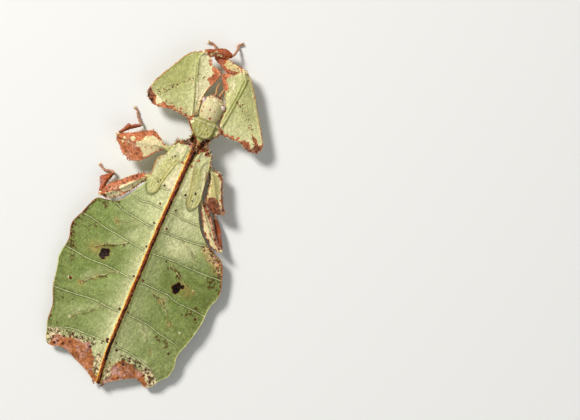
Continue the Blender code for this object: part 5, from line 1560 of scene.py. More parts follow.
# %% The left fore leg
# Each leg has its knee's place and radii, its hip's path and radii, and its thigh and shin as
# left edge, rib and right edge, with their heights at root and tip. The foot's path follows,
# then the outlines and places of its markings, and last the nodes that the pieces stand for.
LEGS = {}
LEGS["fore_left"] = dict(
    knee=(-7.3, 24.3, 5.3, 0.95, 0.8, 0.65),
    coxa=[(-1.2, 2.2, 4.6), (-2.9, 3.9, 5), (-4.2, 5.9, 5.2)],
    coxa_radii=(1.1, 1, 0.9),
    thigh=(
        [(-4.6, 4.8), (-7, 5.4), (-9.5, 5.6), (-11.8, 5.3), (-13.8, 4.9), (-15.8, 5.1), (-17.4, 6),
         (-18.4, 7.2), (-18.6, 8.8), (-17.9, 11.2), (-16.8, 13.6), (-14.2, 18.4), (-12.2, 21.8),
         (-10.6, 23.4), (-9.2, 24.1), (-8.2, 24.6)],
        [(-4, 5.9), (-4.2, 6.8), (-4.3, 7.8), (-4.6, 8.8), (-4.9, 9.8), (-5.2, 10.8), (-5.5, 11.8),
         (-5.8, 12.8), (-6.1, 13.8), (-6.5, 15), (-6.9, 16.4), (-7.4, 18.6), (-7.9, 20.6),
         (-8.2, 21.8), (-8.2, 22.9), (-7.3, 24.5)],
        [(-3.1, 6.6), (-3, 7.4), (-2.95, 8.2), (-2.95, 9), (-3, 9.8), (-3.1, 10.6), (-3.2, 11.4),
         (-3.1, 12.4), (-2.8, 13.6), (-2.4, 15.2), (-1.5, 17.2), (-0.5, 20.2), (-2, 21.3),
         (-4.1, 21.9), (-4.8, 23.3), (-6.4, 24.4)]),
    thigh_heights=(4.9, 5.3),
    shin=(
        [(-8, 25), (-6.6, 25.9), (-5, 26.5), (-3.6, 27.3), (-2, 27.75), (-0.6, 27.4), (0.5, 26.9)],
        [(-7.2, 24.6), (-5.9, 25.2), (-4.6, 25.7), (-3.2, 26), (-1.9, 26.2), (-0.7, 26.3),
         (0.5, 26.5)],
        [(-6.4, 23.9), (-5.5, 23.7), (-4.5, 24.3), (-3.2, 24.9), (-1.8, 25), (-0.7, 25.2),
         (0.5, 26)]),
    shin_heights=(5.3, 3.8),
    foot=[(0.2, 26.4, 3.9), (0.7, 27.2, 3.2), (0.85, 28.3, 2), (0.9, 29.3, 1), (0.5, 30.2, 0.5),
          (1.5, 31, 0.4)],
    rust=[
        [(-3.6, 21.3), (-2.4, 21.8), (-1, 21.6), (-1.3, 20.3), (-0.4, 19.4), (-0.9, 17.9),
         (-1.7, 16.4), (-2.3, 15.9), (-2.7, 16.8), (-3.6, 17.3), (-3.9, 18), (-2.9, 18.6),
         (-2.8, 19.8), (-3.8, 20.5)],
        [(-19, 10.2), (-17.9, 9.4), (-17.2, 8.2), (-15.9, 7.8), (-15.6, 6.6), (-15.4, 5.4),
         (-16.5, 4.6), (-19, 5.6)],
        [(-4.6, 24.3), (-5.6, 22.8), (-4.9, 21.6), (-4, 21.4), (-4, 23.2)]],
    blots=[(-7.1, 17.4, 0.28), (-7.7, 15.4, 0.3), (-8.5, 15.7, 0.25), (-4.8, 17.6, 0.3),
           (-14.3, 10.1, 0.4), (-13.5, 9.9, 0.3), (-11.3, 7.2, 0.35), (-12.7, 7.1, 0.35),
           (-8.8, 6.3, 0.25), (-10.8, 14, 0.25), (-12.4, 11.7, 0.3), (-13.1, 6.4, 0.45),
           (-11.6, 5.9, 0.4)],
    cream=[[(-6.2, 15.4), (-4.6, 17), (-3.2, 16), (-2.8, 13), (-3.2, 10), (-4.6, 10.4),
            (-5.6, 12.8)], [(-4, 20.6), (-3, 20), (-3.1, 18.8), (-4.2, 18.4), (-5, 19.4)],
           [(-15.6, 8.2), (-14, 7.2), (-13, 5.8), (-14.8, 5.2), (-16.2, 6.2)]],
    smoke=[[(-19, 9.6), (-17.2, 8.8), (-16, 7.2), (-15.8, 4.8), (-19, 4.6)]],
    smoke_share=0.5,
    inner_glow=0.8,
    outer_glow=0.08,
    outer_olive=0.46,
    vein_shade=0.6,
    freckles=[
        (2.2, 1.2, [(-16.4, 8.6), (-15, 9.4), (-13.4, 10.6), (-12, 12.4)]),
        (1.5, 1.15, [(-12, 12.4), (-10.6, 14.1), (-7.8, 15.7), (-6.9, 17.6)]),
        (1.6, 1, [(-14, 6.4), (-11.6, 6.8), (-8.6, 6.2), (-5, 5.6)]),
        (2.4, 0.9, [(-18, 6.6), (-17, 8.4)])],
    rim=0.2,
    ragged=[(-1.2, 19.8, 2.6, 1.6), (-3.4, 21.8, 1.6, 1.6)],
    fringes=[
        [(-17.6, 6.2), (-15.8, 5.2), (-13.8, 5), (-11.8, 5.4), (-9.5, 5.7), (-7, 5.5), (-4.8, 5)]],
    veins=[[(-8.9, 23), (-8.5, 21.6), (-7.9, 19.4), (-7.3, 17.2), (-6.6, 15), (-5.8, 12.8),
            (-4.8, 9.8), (-4.2, 7.4)],
           [(-8.1, 22.2), (-7.4, 19.4), (-6.5, 16.8), (-5.7, 15), (-4.9, 12.8), (-4, 9.6)]],
    nodes=("femur_fore_left", "coxa_fore_left"))
print("outlined:", *LEGS)

# %% The right fore leg
LEGS["fore_right"] = dict(
    knee=(5.3, 23.4, 5.3, 1.25, 0.85, 0.65),
    coxa=[(2.6, 2, 4.6), (4, 3.6, 5), (5, 5.6, 5.2)],
    coxa_radii=(1.1, 1, 0.9),
    thigh=(
        [(5.5, 4.2), (7.2, 4.1), (8.9, 4), (10.6, 4.1), (12.2, 3.8), (14, 3), (15.8, 2.6),
         (17.4, 3.1), (18.2, 4.4), (18.2, 6), (16.6, 8.8), (13.8, 13.2), (11.2, 17.6), (8.7, 21.3),
         (7.2, 22.8), (5.6, 24.2)],
        [(5, 5.8), (5.2, 6.6), (5.35, 7.6), (5.5, 8.6), (5.65, 9.6), (5.8, 10.6), (5.95, 11.6),
         (6.1, 12.6), (6.2, 13.6), (6.3, 14.6), (6.45, 15.8), (6.65, 17.4), (6.85, 19.2), (6.9, 21),
         (6.1, 22.4), (5.1, 24.1)],
        [(4.4, 6.5), (4.25, 7.3), (4.2, 8.2), (4.2, 9), (4.2, 9.8), (4.2, 10.6), (4.1, 11.4),
         (3.8, 12.4), (3.3, 13.6), (2.8, 14.6), (2.2, 15.9), (1, 17.6), (-0.5, 20.2), (1, 21.2),
         (3.1, 21.6), (4.2, 23.4)]),
    thigh_heights=(4.9, 5.3),
    shin=([(4.6, 24.4), (2.8, 24.5), (0.9, 25), (-0.7, 25.4), (-2, 25.6), (-3.4, 25.6), (-4.5, 25)],
          [(4.6, 23.5), (2.6, 23.4), (0.9, 23.5), (-0.6, 23.8), (-1.9, 24.1), (-3.2, 24.3),
           (-4.4, 24.5)],
          [(4.2, 22.3), (2.6, 21.8), (1, 21.4), (-0.5, 21.9), (-1.9, 22.8), (-3.2, 23.4),
           (-4.3, 24)]),
    shin_heights=(4.9, 2.4),
    foot=[(-4.2, 24.6, 2.6), (-4.6, 25.1, 2.8), (-5, 26.1, 1.9), (-5.2, 27, 1), (-6.3, 28, 0.5),
          (-7.6, 28, 0.4)],
    rust=[
        [(0, 21.2), (1.4, 21.5), (3, 21.2), (3.4, 21.8), (2.6, 21.9), (2.2, 20.8), (1.3, 20),
         (1.9, 18.8), (2.6, 18.2), (3.1, 17.2), (2.6, 16.4), (1.6, 16.4), (0.4, 17.6),
         (-0.6, 19.6)],
        [(18.8, 5.8), (17.4, 5.4), (16.5, 5.7), (15.7, 6.7), (14.4, 7.2), (15.3, 6), (15.8, 4.8),
         (16.1, 3.4), (16.4, 2), (18.8, 2.6)],
        [(12, 4.7), (13, 5.1), (14.2, 4.9), (15, 4.2), (15.6, 3.2), (15.5, 1.8), (12.4, 3.4)]],
    blots=[(7.1, 14.4, 0.28), (12.8, 9, 0.3), (14.5, 7, 0.35), (16.2, 5.3, 0.45), (9.9, 12.7, 0.25),
           (13.1, 12, 0.2), (12.4, 5.9, 0.3), (15.6, 6, 0.45), (15, 6.6, 0.4), (13.1, 5, 0.35),
           (11.4, 6.7, 0.25), (14.4, 7.7, 0.25), (4.8, 10.7, 0.22), (4.2, 17, 0.28),
           (5.3, 16.7, 0.28)],
    cream=[[(4, 14.6), (5, 17.4), (4.6, 20.6), (3.4, 20.4), (2.4, 19.2), (3.4, 17.6), (3, 15.6)],
           [(12.6, 6.4), (14.2, 6.6), (15.4, 5.4), (15.9, 3.8), (16.4, 2.4), (15.4, 2.4), (15, 4),
            (13.6, 5.2)], [(4.4, 24.2), (4.2, 22.4), (5.8, 21.8), (6.4, 22.8), (5.6, 24.4)]],
    cream_share=0.5,
    smoke=[[(11.6, 4), (14, 4.6), (15.6, 4.8), (19, 5.8), (19, 1.6), (12, 2)]],
    shade=0.05,
    smoke_share=0.36,
    inner_glow=0.06,
    outer_glow=0.2,
    outer_olive=0.1,
    vein_shade=1,
    freckles=[
        (1.7, 1.2, [(7, 14.6), (9.6, 13), (11.3, 11.2), (12.7, 9.4), (14.5, 7.4), (16, 5.8)]),
        (1.2, 0.9, [(9.5, 4.6), (12.5, 4.9), (15, 4.4)]),
        (1.6, 0.8, [(3, 16.6), (4.6, 17), (5.6, 16.6)]),
        (3.4, 1.4, [(14.4, 4), (16, 4.4), (17.6, 4.4)])],
    rim=0.2,
    ragged=[(0.4, 19.4, 2.6, 1.6), (2.2, 21.4, 1.2, 1.2)],
    fringes=[
        [(5.6, 4.3), (7.2, 4.2), (8.9, 4.1), (10.6, 4.2), (12.2, 3.9), (14, 3.1), (15.8, 2.8)]],
    veins=[[(7.25, 21.6), (7.25, 19.6), (7.05, 17.6), (6.85, 15.6), (6.55, 13.2), (6.1, 9.6),
            (5.6, 6.4)], [(6.4, 21), (6.2, 17.6), (5.9, 14.2), (5.3, 10), (4.9, 7.4)]],
    nodes=("femur_fore_right", "coxa_fore_right"))
print("outlined:", *LEGS)

# %% The left middle leg
LEGS["mid_left"] = dict(
    knee=(-21.9, -7.1, 5.3, 0.6, 0.7, 0.6),
    coxa=[(-3.8, -4.8, 4.6), (-6, -5.3, 4.7), (-8, -5.5, 4.6)],
    coxa_radii=(1.2, 1.05, 0.75),
    thigh=(
        [(-7, -4.9), (-8.4, -4.7), (-10, -3.4), (-12.2, -2.2), (-13.4, -2.3), (-15.2, -3.2),
         (-16.8, -4.2), (-18.6, -5.2), (-20.6, -6), (-21.8, -6.8)],
        [(-7, -5.5), (-8.6, -5.5), (-10.4, -5.6), (-12.2, -5.9), (-13.8, -6.1), (-15.4, -6.4),
         (-17, -6.7), (-18.6, -7), (-20.6, -7.4), (-21.8, -7.6)],
        [(-7, -6.1), (-8.6, -6.6), (-10.2, -8.2), (-11.8, -10.4), (-13.6, -11.9), (-15.8, -12.7),
         (-17.2, -12.2), (-18.6, -11.6), (-20.6, -9.6), (-21.9, -8.4)]),
    thigh_heights=(4.4, 5.5),
    shin=(
        [(-22.5, -6.8), (-21.8, -5.6), (-21.2, -4.4), (-20.5, -2.9), (-19.6, -3), (-18.7, -2.4),
         (-17.4, -1.7)],
        [(-22, -6.6), (-21.2, -5.6), (-20.6, -4.7), (-19.9, -3.9), (-19.2, -3.4), (-18.4, -2.8),
         (-17, -2)],
        [(-21.3, -6.5), (-20.6, -5.6), (-20, -5), (-19.4, -4.4), (-18.8, -3.9), (-18, -3.3),
         (-16.8, -2.4)]),
    shin_heights=(4.9, 1.8),
    foot=[(-17, -2.2, 1.6), (-17.4, -1.5, 1.3), (-18.3, -0.6, 0.8), (-19.2, 0.5, 0.5),
          (-19.6, 1.4, 0.4), (-20.5, 2, 0.4)],
    ground=1,
    warm=0.18,
    glow=1,
    bare=[[(-6, -4), (-8.3, -4.9), (-9, -4.3), (-12.2, -3.4), (-14, -4.2), (-14.6, -5.5),
           (-14.5, -6.2), (-16, -7), (-15.8, -8), (-14.5, -8.3), (-13.2, -9.6), (-12.6, -10.3),
           (-11, -9), (-9.5, -7.4), (-6, -7)]],
    blots=[(-13.1, -7.5, 0.28), (-11.2, -6.9, 0.28), (-13.4, -4.4, 0.3)],
    rings=[(-17.3, -6.5, 0.7), (-19.7, -7.2, 0.4), (-19.8, -8.3, 0.38), (-18.2, -7.9, 0.25)],
    cream=[[(-12.4, -4.4), (-13.6, -6), (-15.2, -7.2), (-14, -8), (-12.6, -9.6), (-11, -8),
            (-9.4, -6.4), (-10.2, -4.6)]],
    freckles=[(3, 0.8, [(-20, -10), (-17, -11), (-15, -10)]),
              (1.4, 0.6, [(-9, -4.6), (-12, -2.8), (-14, -3)])],
    nodes=("femur_mid_left", "coxa_mid_left"))
print("outlined:", *LEGS)

# %% The right middle leg
LEGS["mid_right"] = dict(
    knee=(14.8, -17, 5, 0.7, 0.7, 0.6),
    coxa=[(4.2, -5.6, 4.6), (5.9, -6.2, 4.7), (7.6, -7.2, 4.5)],
    coxa_radii=(1.1, 0.95, 0.7),
    thigh=(
        [(6.9, -6.2), (8.2, -6.5), (9.7, -6.5), (11, -7.5), (12.1, -10.1), (13.1, -12.6),
         (14.2, -14.8), (15.6, -16.6)],
        [(6.9, -6.9), (7.9, -7.7), (8.7, -8.8), (9.5, -10.4), (10.4, -12), (11.4, -13.7),
         (12.6, -15.3), (14.7, -17.1)],
        [(6.8, -7.7), (7.4, -8.8), (7.9, -10.2), (8.35, -12.2), (8.8, -14.6), (9.6, -16.6),
         (11.6, -17.7), (14, -18)]),
    thigh_heights=(4.5, 5.6),
    shin=([(14.8, -16.6), (13.5, -14.8), (12.2, -13), (11.3, -11)],
          [(14.3, -17), (12.9, -15.3), (11.6, -13.3), (10.6, -11.2)],
          [(13.8, -17.4), (12.3, -15.8), (11, -13.6), (9.9, -11.4)]),
    shin_heights=(4, 1.5),
    foot=[(10.7, -11.2, 1.5), (10.5, -10.8, 1.2), (10.1, -9.8, 0.8), (9.8, -8.9, 0.5),
          (9.6, -8.1, 0.4), (9.3, -7.3, 0.4)],
    rust=[[(9, -16.4), (9.3, -15.2), (9.7, -14.1), (10.9, -13.5), (12.3, -13.9), (13.1, -15),
           (13.6, -16.2), (15.6, -17.2), (13.2, -18.4), (11.2, -18), (9.4, -17.2)],
          [(9.6, -6.2), (11.4, -7.2), (12.4, -9.6), (13.4, -12.4), (14.4, -14.6), (16, -16.8),
           (14.6, -16.4), (13.2, -14.2), (12.2, -11.8), (11.4, -9.4), (10.4, -7.9), (9.4, -7.3)]],
    blots=[
        (12, -11.2, 0.4), (11.6, -12, 0.3), (12.8, -13.8, 0.4), (13.5, -15.4, 0.35),
        (14.6, -16.4, 0.4), (11, -7.8, 0.5), (8.8, -11, 0.25), (9, -10.2, 0.25), (11.6, -9, 0.45)],
    cream=[
        [(11.9, -12.4), (12.8, -12.6), (13.6, -14.8), (14.4, -16.2), (13.6, -16), (12.8, -14.6)]],
    freckles=[(2.4, 0.7, [(9, -9), (10, -12.4)]), (1.4, 0.6, [(12, -11), (14.5, -16)])],
    olive=0.25,
    warm=0.16,
    glow=0.36,
    shade=0.5,
    burnt=0.06,
    nodes=("femur_mid_right", "coxa_mid_right"))
print("outlined:", *LEGS)

# %% The left hind leg
LEGS["hind_left"] = dict(
    knee=(-20.1, -24.8, 4.8, 0.75, 0.7, 0.6),
    coxa=[(-6.6, -14.4, 4.4), (-8.4, -14.9, 4.6), (-10, -15.6, 4.4)],
    coxa_radii=(1, 0.9, 0.7),
    thigh=(
        [(-8.7, -14.1), (-10.2, -14.5), (-12, -15.2), (-14, -16.8), (-16, -18.6), (-18, -20.3),
         (-19.4, -22), (-20.2, -23.9)],
        [(-8.7, -14.9), (-10.1, -15.8), (-11.8, -17.3), (-13.4, -19.1), (-15, -20.8),
         (-16.6, -22.3), (-18.1, -23.7), (-19.8, -24.8)],
        [(-8.7, -15.7), (-9.7, -16.8), (-10.9, -18.4), (-12.4, -20.7), (-14.1, -22.8),
         (-15.8, -24.2), (-17.4, -25.1), (-19, -25.4)]),
    thigh_heights=(4.3, 5),
    shin=([(-20.9, -24.6), (-21.5, -22.6), (-22.4, -20.4), (-21.2, -19.2), (-19.7, -18)],
          [(-20.3, -24.6), (-20.3, -22.6), (-20.3, -20.9), (-19.9, -19.4), (-19.3, -18)],
          [(-19.7, -24.5), (-19.7, -22.6), (-19.6, -21), (-19.2, -19.4), (-18.8, -17.8)]),
    shin_heights=(4.6, 1.6),
    foot=[(-19.2, -18.3, 1.6), (-19.5, -17.7, 1.2), (-20.6, -17.8, 0.7), (-21.8, -18.1, 0.5),
          (-22.8, -17.9, 0.4), (-23.8, -17.3, 0.4)],
    ground=1,
    warm=0.1,
    glow=1,
    shade=0.16,
    bare=[
        [(-9.6, -15.6), (-11.7, -17.2), (-13, -18.3), (-14.6, -19.6), (-16, -20.9), (-14.8, -21.9),
         (-13.4, -21.6), (-12.4, -20.8), (-11.4, -19.6), (-10.2, -18), (-9.2, -16.6)],
        [(-18.9, -24.2), (-17.4, -23), (-16, -22.3), (-14.4, -22.4), (-15, -23.6), (-16, -24.5),
         (-18.2, -25.4)]],
    blots=[(-12.6, -19, 0.3), (-11.6, -17.6, 0.25), (-17, -23.5, 0.35), (-16.2, -22.9, 0.3)],
    cream=[[(-11, -17.2), (-13, -18.8), (-15.2, -20.9), (-13.6, -21.2), (-12.2, -20.2),
            (-11, -18.6)], [(-17.9, -24.2), (-16, -23), (-15, -22.9), (-16, -24.2), (-17.6, -25)]],
    freckles=[(1.6, 0.9, [(-11, -15.5), (-14, -18), (-17, -21), (-19, -23.4)])],
    nodes=("femur_hind_left", "coxa_hind_left"))
print("outlined:", *LEGS)

# %% The right hind leg
LEGS["hind_right"] = dict(
    knee=(18.4, -27.3, 4.6, 0.7, 0.6, 0.55),
    coxa=[(5.2, -15, 4.2), (6.8, -15.8, 4.4), (8.4, -16.9, 4.2)],
    coxa_radii=(1, 0.9, 0.6),
    thigh=(
        [(7.9, -15.6), (9.6, -16.9), (11.2, -18.4), (12.6, -20.2), (14, -22.1), (15.3, -24),
         (16.8, -25.8), (18.6, -27.2)],
        [(7.7, -16.2), (8.9, -17.5), (10.2, -19.3), (11.5, -21.2), (12.9, -22.9), (14.4, -24.7),
         (16.1, -26.3), (18.3, -27.7)],
        [(7.5, -16.8), (8.4, -18), (9.5, -19.9), (10.8, -22.2), (12.2, -24.3), (13.9, -26),
         (15.7, -27.3), (17.9, -28.2)]),
    thigh_heights=(4.2, 4.9),
    shin=([(18.8, -26.8), (17.6, -24.6), (16.6, -22.6), (15.3, -20.8), (13.9, -19.3)],
          [(18.2, -26.6), (17, -24.8), (15.8, -23), (14.6, -21.2), (13.4, -19.6)],
          [(17.7, -26.5), (16.4, -25), (15.1, -23.3), (14, -21.6), (13, -19.9)]),
    shin_heights=(4, 1.5),
    foot=[(13.4, -19.7, 1.5), (13.2, -19.2, 1.2), (12.6, -18.3, 0.7), (12.1, -17.4, 0.5),
          (11.6, -16.5, 0.4), (11.2, -15.6, 0.4)],
    rust=[[(7.4, -15), (9.8, -16.6), (12.8, -19.9), (14.4, -22.1), (13.8, -22.5), (12.2, -20.7),
           (10.4, -18.6), (8.8, -17.2)],
          [(14.6, -23.6), (16, -23.8), (18.9, -27), (18, -27.6), (16.4, -26.2)]],
    blots=[(10.4, -19.6, 0.3), (11.4, -20.8, 0.25), (14, -24.2, 0.3), (15.4, -24.6, 0.25),
           (13.4, -23.8, 0.3)],
    cream=[[(7.6, -16.6), (9.8, -18.6), (12.4, -21.8), (14.4, -24.2), (17.6, -27.4), (15.7, -27.4),
            (12.2, -24.6), (9.4, -20.2)]],
    freckles=[(2, 0.9, [(9, -18), (12, -21.8), (15, -25)])],
    warm=0.2,
    glow=0.62,
    shade=0.2,
    nodes=("femur_hind_right", "coxa_hind_right"))
print("legs:", ", ".join(LEGS))

# %% A thigh
LEG_STEPS = 9
THIGH_RIB = 1.9
SHIN_RIB = 1.1
LOBE_EDGE = 0.3
FORE_COLUMNS = 110
THIGH_COLUMNS = 64
SHIN_COLUMNS = 40
KNEE_SEGMENTS = (28, 20)


def lobe_shape(root, tip, rib, wave, veins=()):
    """Height and thickness of a lobe that thins from its rib to its edges."""
    def top(x, y, side, along):
        z = root + (tip - root) * along - 0.35 * side * side
        z += depth(x, y, side, along) / 2
        for vein in veins:
            z += 0.15 * swell(curve_reach(x, y, vein), 0.22)
        if not veins:
            z += 0.18 * swell(np.abs(side) - 0.09, 0.07)
        z += wave * rough(x, y, 3.2, 2.7) * np.abs(side) + 0.045 * rough(x, y, 0.8, 1.1)
        z += 0.12 * swell(np.abs(side) - 0.96, 0.04)
        return x, y, z

    def depth(x, y, side, along):
        return LOBE_EDGE + (rib - LOBE_EDGE) * (1 - np.abs(side)) ** 2
    return top, depth


def rim_reach(x, y, left, rib, right):
    """Distance in millimetres from each point to the nearer edge of its plate."""
    return np.minimum(curve_reach(x, y, left), curve_reach(x, y, right))


def make_thigh(name, leg):
    """The broad lobe of one leg with its patches."""
    fore = "fore" in name
    veins = leg.get("veins", ())
    top, depth = lobe_shape(*leg["thigh_heights"], THIGH_RIB, 0.3, veins)
    columns = (FORE_COLUMNS if fore else THIGH_COLUMNS) // 1
    piece, x, y, side, along, back = plate("thigh_" + name, *leg["thigh"], top, depth,
                                           LEG_STEPS, columns, saw=(0.3, 0.36), pitch=0.8,
                                           ragged=leg.get("ragged", ()))
    px, py = wander(*wander(x, y, 1.1, 0.5), 0.4, 0.25)
    rim = rim_reach(x, y, *leg["thigh"])
    fray = rough(x, y, 0.8, 5.0)
    spots = blots(px, py, [(spot_x, spot_y, 0.8 * radius) for spot_x, spot_y, radius
                           in leg["blots"]])
    ring_spots = blots(x, y, leg.get("rings", ()), 0.2)
    rust = most(leg.get("ground", 0.0) * (1 - patch_of(px, py, leg.get("bare", ()), 0.4)),
                patch_of(px, py, leg.get("rust", ()), 0.4), 0.9 * spots,
                stripe(rim, np.clip(leg.get("rim", 0.55) + 1.1 * fray, 0.0, 1.4), 0.25),
                *(stripe(curve_reach(px, py, fringe), np.clip(1.3 + 3.2 * fray, 0.5, 3.0), 0.3)
                  for fringe in leg.get("fringes", ())))
    rust = rust * (1 - ring_spots)
    amber = np.maximum(0.5 * stripe(rim, 0.5, 0.3), leg.get("warm", 0.0))
    freckle = most(np.full(x.shape, 0.25),
                   *(density * stripe(reach(px, py, points), width, width * 0.6)
                     for width, density, points in leg["freckles"]))
    cream_edge = (0.5 if fore else 0.75) * stripe(np.abs(rim - 0.7), 0.45, 0.4) * (fray > -0.2)
    cream = most(leg.get("cream_share", 0.9) * patch_of(px, py, leg["cream"], 1.2), ring_spots,
                 cream_edge)
    line = most(np.full(x.shape, leg.get("olive", 0.0)),
                *(leg["vein_shade"] * stripe(curve_reach(x, y, vein), 0.4, 0.25)
                  for vein in veins))
    if not veins:
        line = np.maximum(line, 0.18 * stripe(np.abs(side - 0.03), 0.1, 0.08))
    glow = leg.get("glow", 0.2)
    if fore:
        glow = (leg["outer_glow"] + leg["inner_glow"] * ramp(side, -0.3, 0.4)
                + 0.3 * ramp(-y, -13, -6))
        line = np.maximum(line, leg["outer_olive"] * ramp(-side, 0.1, 0.9) * ramp(y, 7, 14))
    shown = 1 - 0.7 * back
    smoke = leg.get("smoke_share", 0.0) * patch_of(px, py, leg.get("smoke", ()), 1.2)
    burnt = leg.get("burnt", 0.2 if fore else 0.36) * ramp(fray, 0.05, 0.3)
    browned = leg.get("shade", 0.0) + smoke + burnt
    note(piece, rust=rust * shown, cream=cream * shown, amber=amber,
         dark=np.maximum((0.5 if fore else 0.3) * spots, rust * browned) * shown,
         pale=np.clip(glow + 0.07 * rough(x, y, 1.6, 1.0), 0, 1), line=line,
         freckle=freckle * shown)
    rim_thorns = []
    for side_row, sign in ((0, -1.0), (2, 1.0)):
        edge, middle = (smooth(leg["thigh"][row], 6) for row in (side_row, 1))
        for place in np.arange(2, len(edge) - 2):
            if thorn_draw.random() > (0.5 if fore else 0.35):
                continue
            way = edge[place] - middle[place]
            way = (*way / np.linalg.norm(way), thorn_draw.uniform(-0.1, 0.3))
            spot = top(*(np.array([value]) for value in (*edge[place], sign,
                                                         place / (len(edge) - 1))))
            root = np.array([float(value[0]) for value in spot]) - (0, 0, 0.15)
            lower_edge = fore and edge[place][1] < 7.5
            size = thorn_draw.uniform(0.35, 0.6) if lower_edge or not fore else 0.25
            rim_thorns.append(cone(root, way, size * 1.3, 0.16 if size > 0.3 else 0.1))
    return join([piece, make_knee(leg), *rim_thorns], piece.name)


print("lobes thin from", THIGH_RIB, "mm at the rib to", LOBE_EDGE, "mm at the edge")

# %% A knee and a shin


def make_knee(leg):
    """The rounded end of the thigh that holds the shin."""
    *centre, long, wide, high = leg["knee"]
    knee = unit_ball("knee", *KNEE_SEGMENTS)
    places = points_of(knee) * (long, wide, high) + centre
    places[:, 2] += 0.12 * rough(places[:, 0], places[:, 1], 0.7, 2.0)
    set_points(knee, to_frame(places))
    bpy.ops.object.shade_smooth()
    speckle = rough(places[:, 0], places[:, 1], 0.6, 4.0)
    note(knee, rust=0.4 + 0.8 * speckle, cream=0.8, pale=0.4, freckle=0.7)
    return knee


SHIN_CREAM = {"fore_right": [[
    (-0.9, 25.2), (0.6, 25.0), (2.0, 24.7), (3.8, 24.4), (4.4, 23.4), (3.6, 22.7), (2.2, 22.6),
    (1.0, 22.5), (-0.2, 22.7), (-1.0, 23.4), (-0.6, 24.2)]]}
SHIN_BLOTS = {
    "fore_left": [(-4.2, 25.8, 0.35), (-3.5, 25.4, 0.4), (-3.7, 25.0, 0.3), (-5.3, 24.6, 0.4),
                  (-4.8, 25.3, 0.25), (-2.6, 25.3, 0.3)],
    "hind_left": [(-19.7, -21.8, 0.3), (-19.8, -23.0, 0.25)],
}


def make_shin(name, leg):
    """The narrow brown lobe of one leg."""
    top, depth = lobe_shape(*leg["shin_heights"], SHIN_RIB, 0.12)
    piece, x, y, side, along, back = plate("shin_" + name, *leg["shin"], top, depth,
                                           LEG_STEPS, SHIN_COLUMNS, saw=(0.22, 0.22), pitch=0.7)
    px, py = wander(x, y, 0.6, 0.3)
    speckle = rough(x, y, 0.55, 7.0)
    cream = most(patch_of(px, py, SHIN_CREAM.get(name, ()), 0.5),
                 blots(px, py, SHIN_BLOTS.get(name, ()), 0.3))
    edge = stripe(1 - np.abs(side), 0.16, 0.12)
    specks = ramp(rough(px, py, 0.5, 3.0), 0.12, 0.3)
    cream = cream * (1 - edge * 0.7) * (1 - 0.8 * specks)
    note(piece, rust=(0.5 + 0.6 * speckle) * (1 - cream), cream=cream,
         dark=0.3 * ramp(speckle, 0.2, 0.45) * (1 - cream), pale=0.1 + 0.15 * speckle,
         freckle=0.8 - 0.5 * cream)
    return piece


print("cream on the shins of", *SHIN_CREAM, *SHIN_BLOTS)

# %% A hip and a foot


def make_coxa(name, leg):
    """The short stout joint between the body and the thigh."""
    coxa = wire("hip_" + name, leg["coxa"], leg["coxa_radii"], 1, 0.0, sides=6)
    x, y, z = places_of(coxa)
    grain = rough(x, y, 0.7, 2.0)
    fore = "fore" in name
    note(coxa, rust=(0.75 if fore else 0.25) + 0.6 * grain,
         dark=(0.5 if fore else 0.2) * ramp(grain, 0.0, 0.3), pale=0.2 + 0.2 * grain,
         cream=0.3, freckle=0.8)
    return coxa


FOOT_RADII = (0.36, 0.42, 0.42, 0.4, 0.36, 0.32)
FOOT_JOINTS = 5
CLAW_RADII = (0.18, 0.13, 0.05)
SOFT_PAD_RADII = (0.3, 0.3, 0.17)
SOFT_PAD_HEIGHT = 0.22
SOFT_PAD_SEGMENTS = (18, 12)


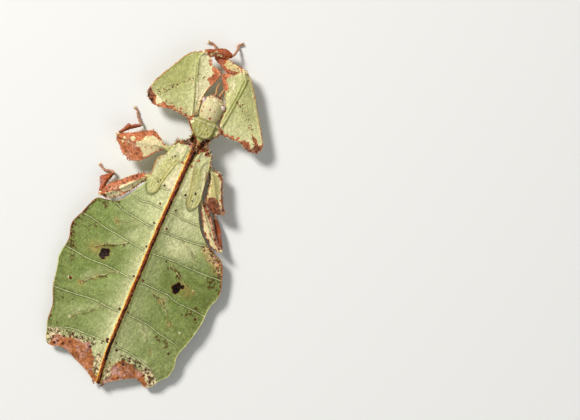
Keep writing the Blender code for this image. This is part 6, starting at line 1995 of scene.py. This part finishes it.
def make_foot(name, leg):
    """Five short joints, two claws and the soft pad between them."""
    path = leg["foot"]
    foot = wire("foot_" + name, path, FOOT_RADII, FOOT_JOINTS, 0.3, steps=10)
    end = np.array(path[-1])
    way = end - np.array(path[-2])
    way /= np.linalg.norm(way)
    flank = np.array([way[1], -way[0], 0])
    parts = [foot]
    for turn in (-1, 1):
        claw = [end - 0.2 * way, end + 0.25 * way + 0.32 * turn * flank + (0, 0, 0.1),
                end + 0.65 * way + 0.5 * turn * flank + (0, 0, -end[2] + 0.1)]
        parts.append(wire("claw", claw, CLAW_RADII, 1, 0.0, sides=2, steps=5))
    pad = unit_ball("pad", *SOFT_PAD_SEGMENTS)
    place_ball(pad, SOFT_PAD_RADII, end + 0.3 * way - (0, 0, end[2] - SOFT_PAD_HEIGHT))
    parts.append(pad)
    pad_first = sum(len(part.data.vertices) for part in parts[:-1])
    join(parts, "foot_" + name)
    count = len(foot.data.vertices)
    x, y, z = places_of(foot)
    grain = rough(x, y, 0.5, 2.0)
    pad_here = (np.arange(count) >= pad_first) * 1.0
    note(foot, rust=(0.3 + 0.7 * grain) * (1 - pad_here), cream=pad_here,
         dark=0.3 * ramp(grain, 0.2, 0.4), pale=0.15 + 0.2 * grain)
    return foot


# %% All six legs
for name, leg in LEGS.items():
    dress(make_thigh(name, leg), lobe_cuticle, "pad_green", leg["nodes"][0])
    dress(make_coxa(name, leg), lobe_cuticle, "rust_brown", leg["nodes"][1])
    dress(make_shin(name, leg), shin_cuticle, "rust_brown", "tibia_" + name)
    dress(make_foot(name, leg), foot_cuticle, "rust_brown", "tarsus_" + name)
print("six legs")

# %% [markdown]
# ## Tail feelers
#
# Two short curved cerci stand out behind the tip of the abdomen.

# %% Tail feelers
TAIL_MIDDLE = -0.5
for name, way in (("left", -1), ("right", 1)):
    path = [(TAIL_MIDDLE + way * 1.2, -75.4, 2.0), (TAIL_MIDDLE + way * 1.6, -76.5, 1.8),
            (TAIL_MIDDLE + way * 0.9, -77.3, 1.7)]
    tail = wire("tail_feeler_" + name, path, (0.42, 0.36, 0.2), 3, 0.15)
    x, y, z = places_of(tail)
    note(tail, rust=0.5, pale=0.3, dark=0.2 * ramp(rough(x, y, 0.4, 1.0), 0.1, 0.3))
    dress(tail, foot_cuticle, "rust_brown", "cercus_" + name)
print("two tail feelers")
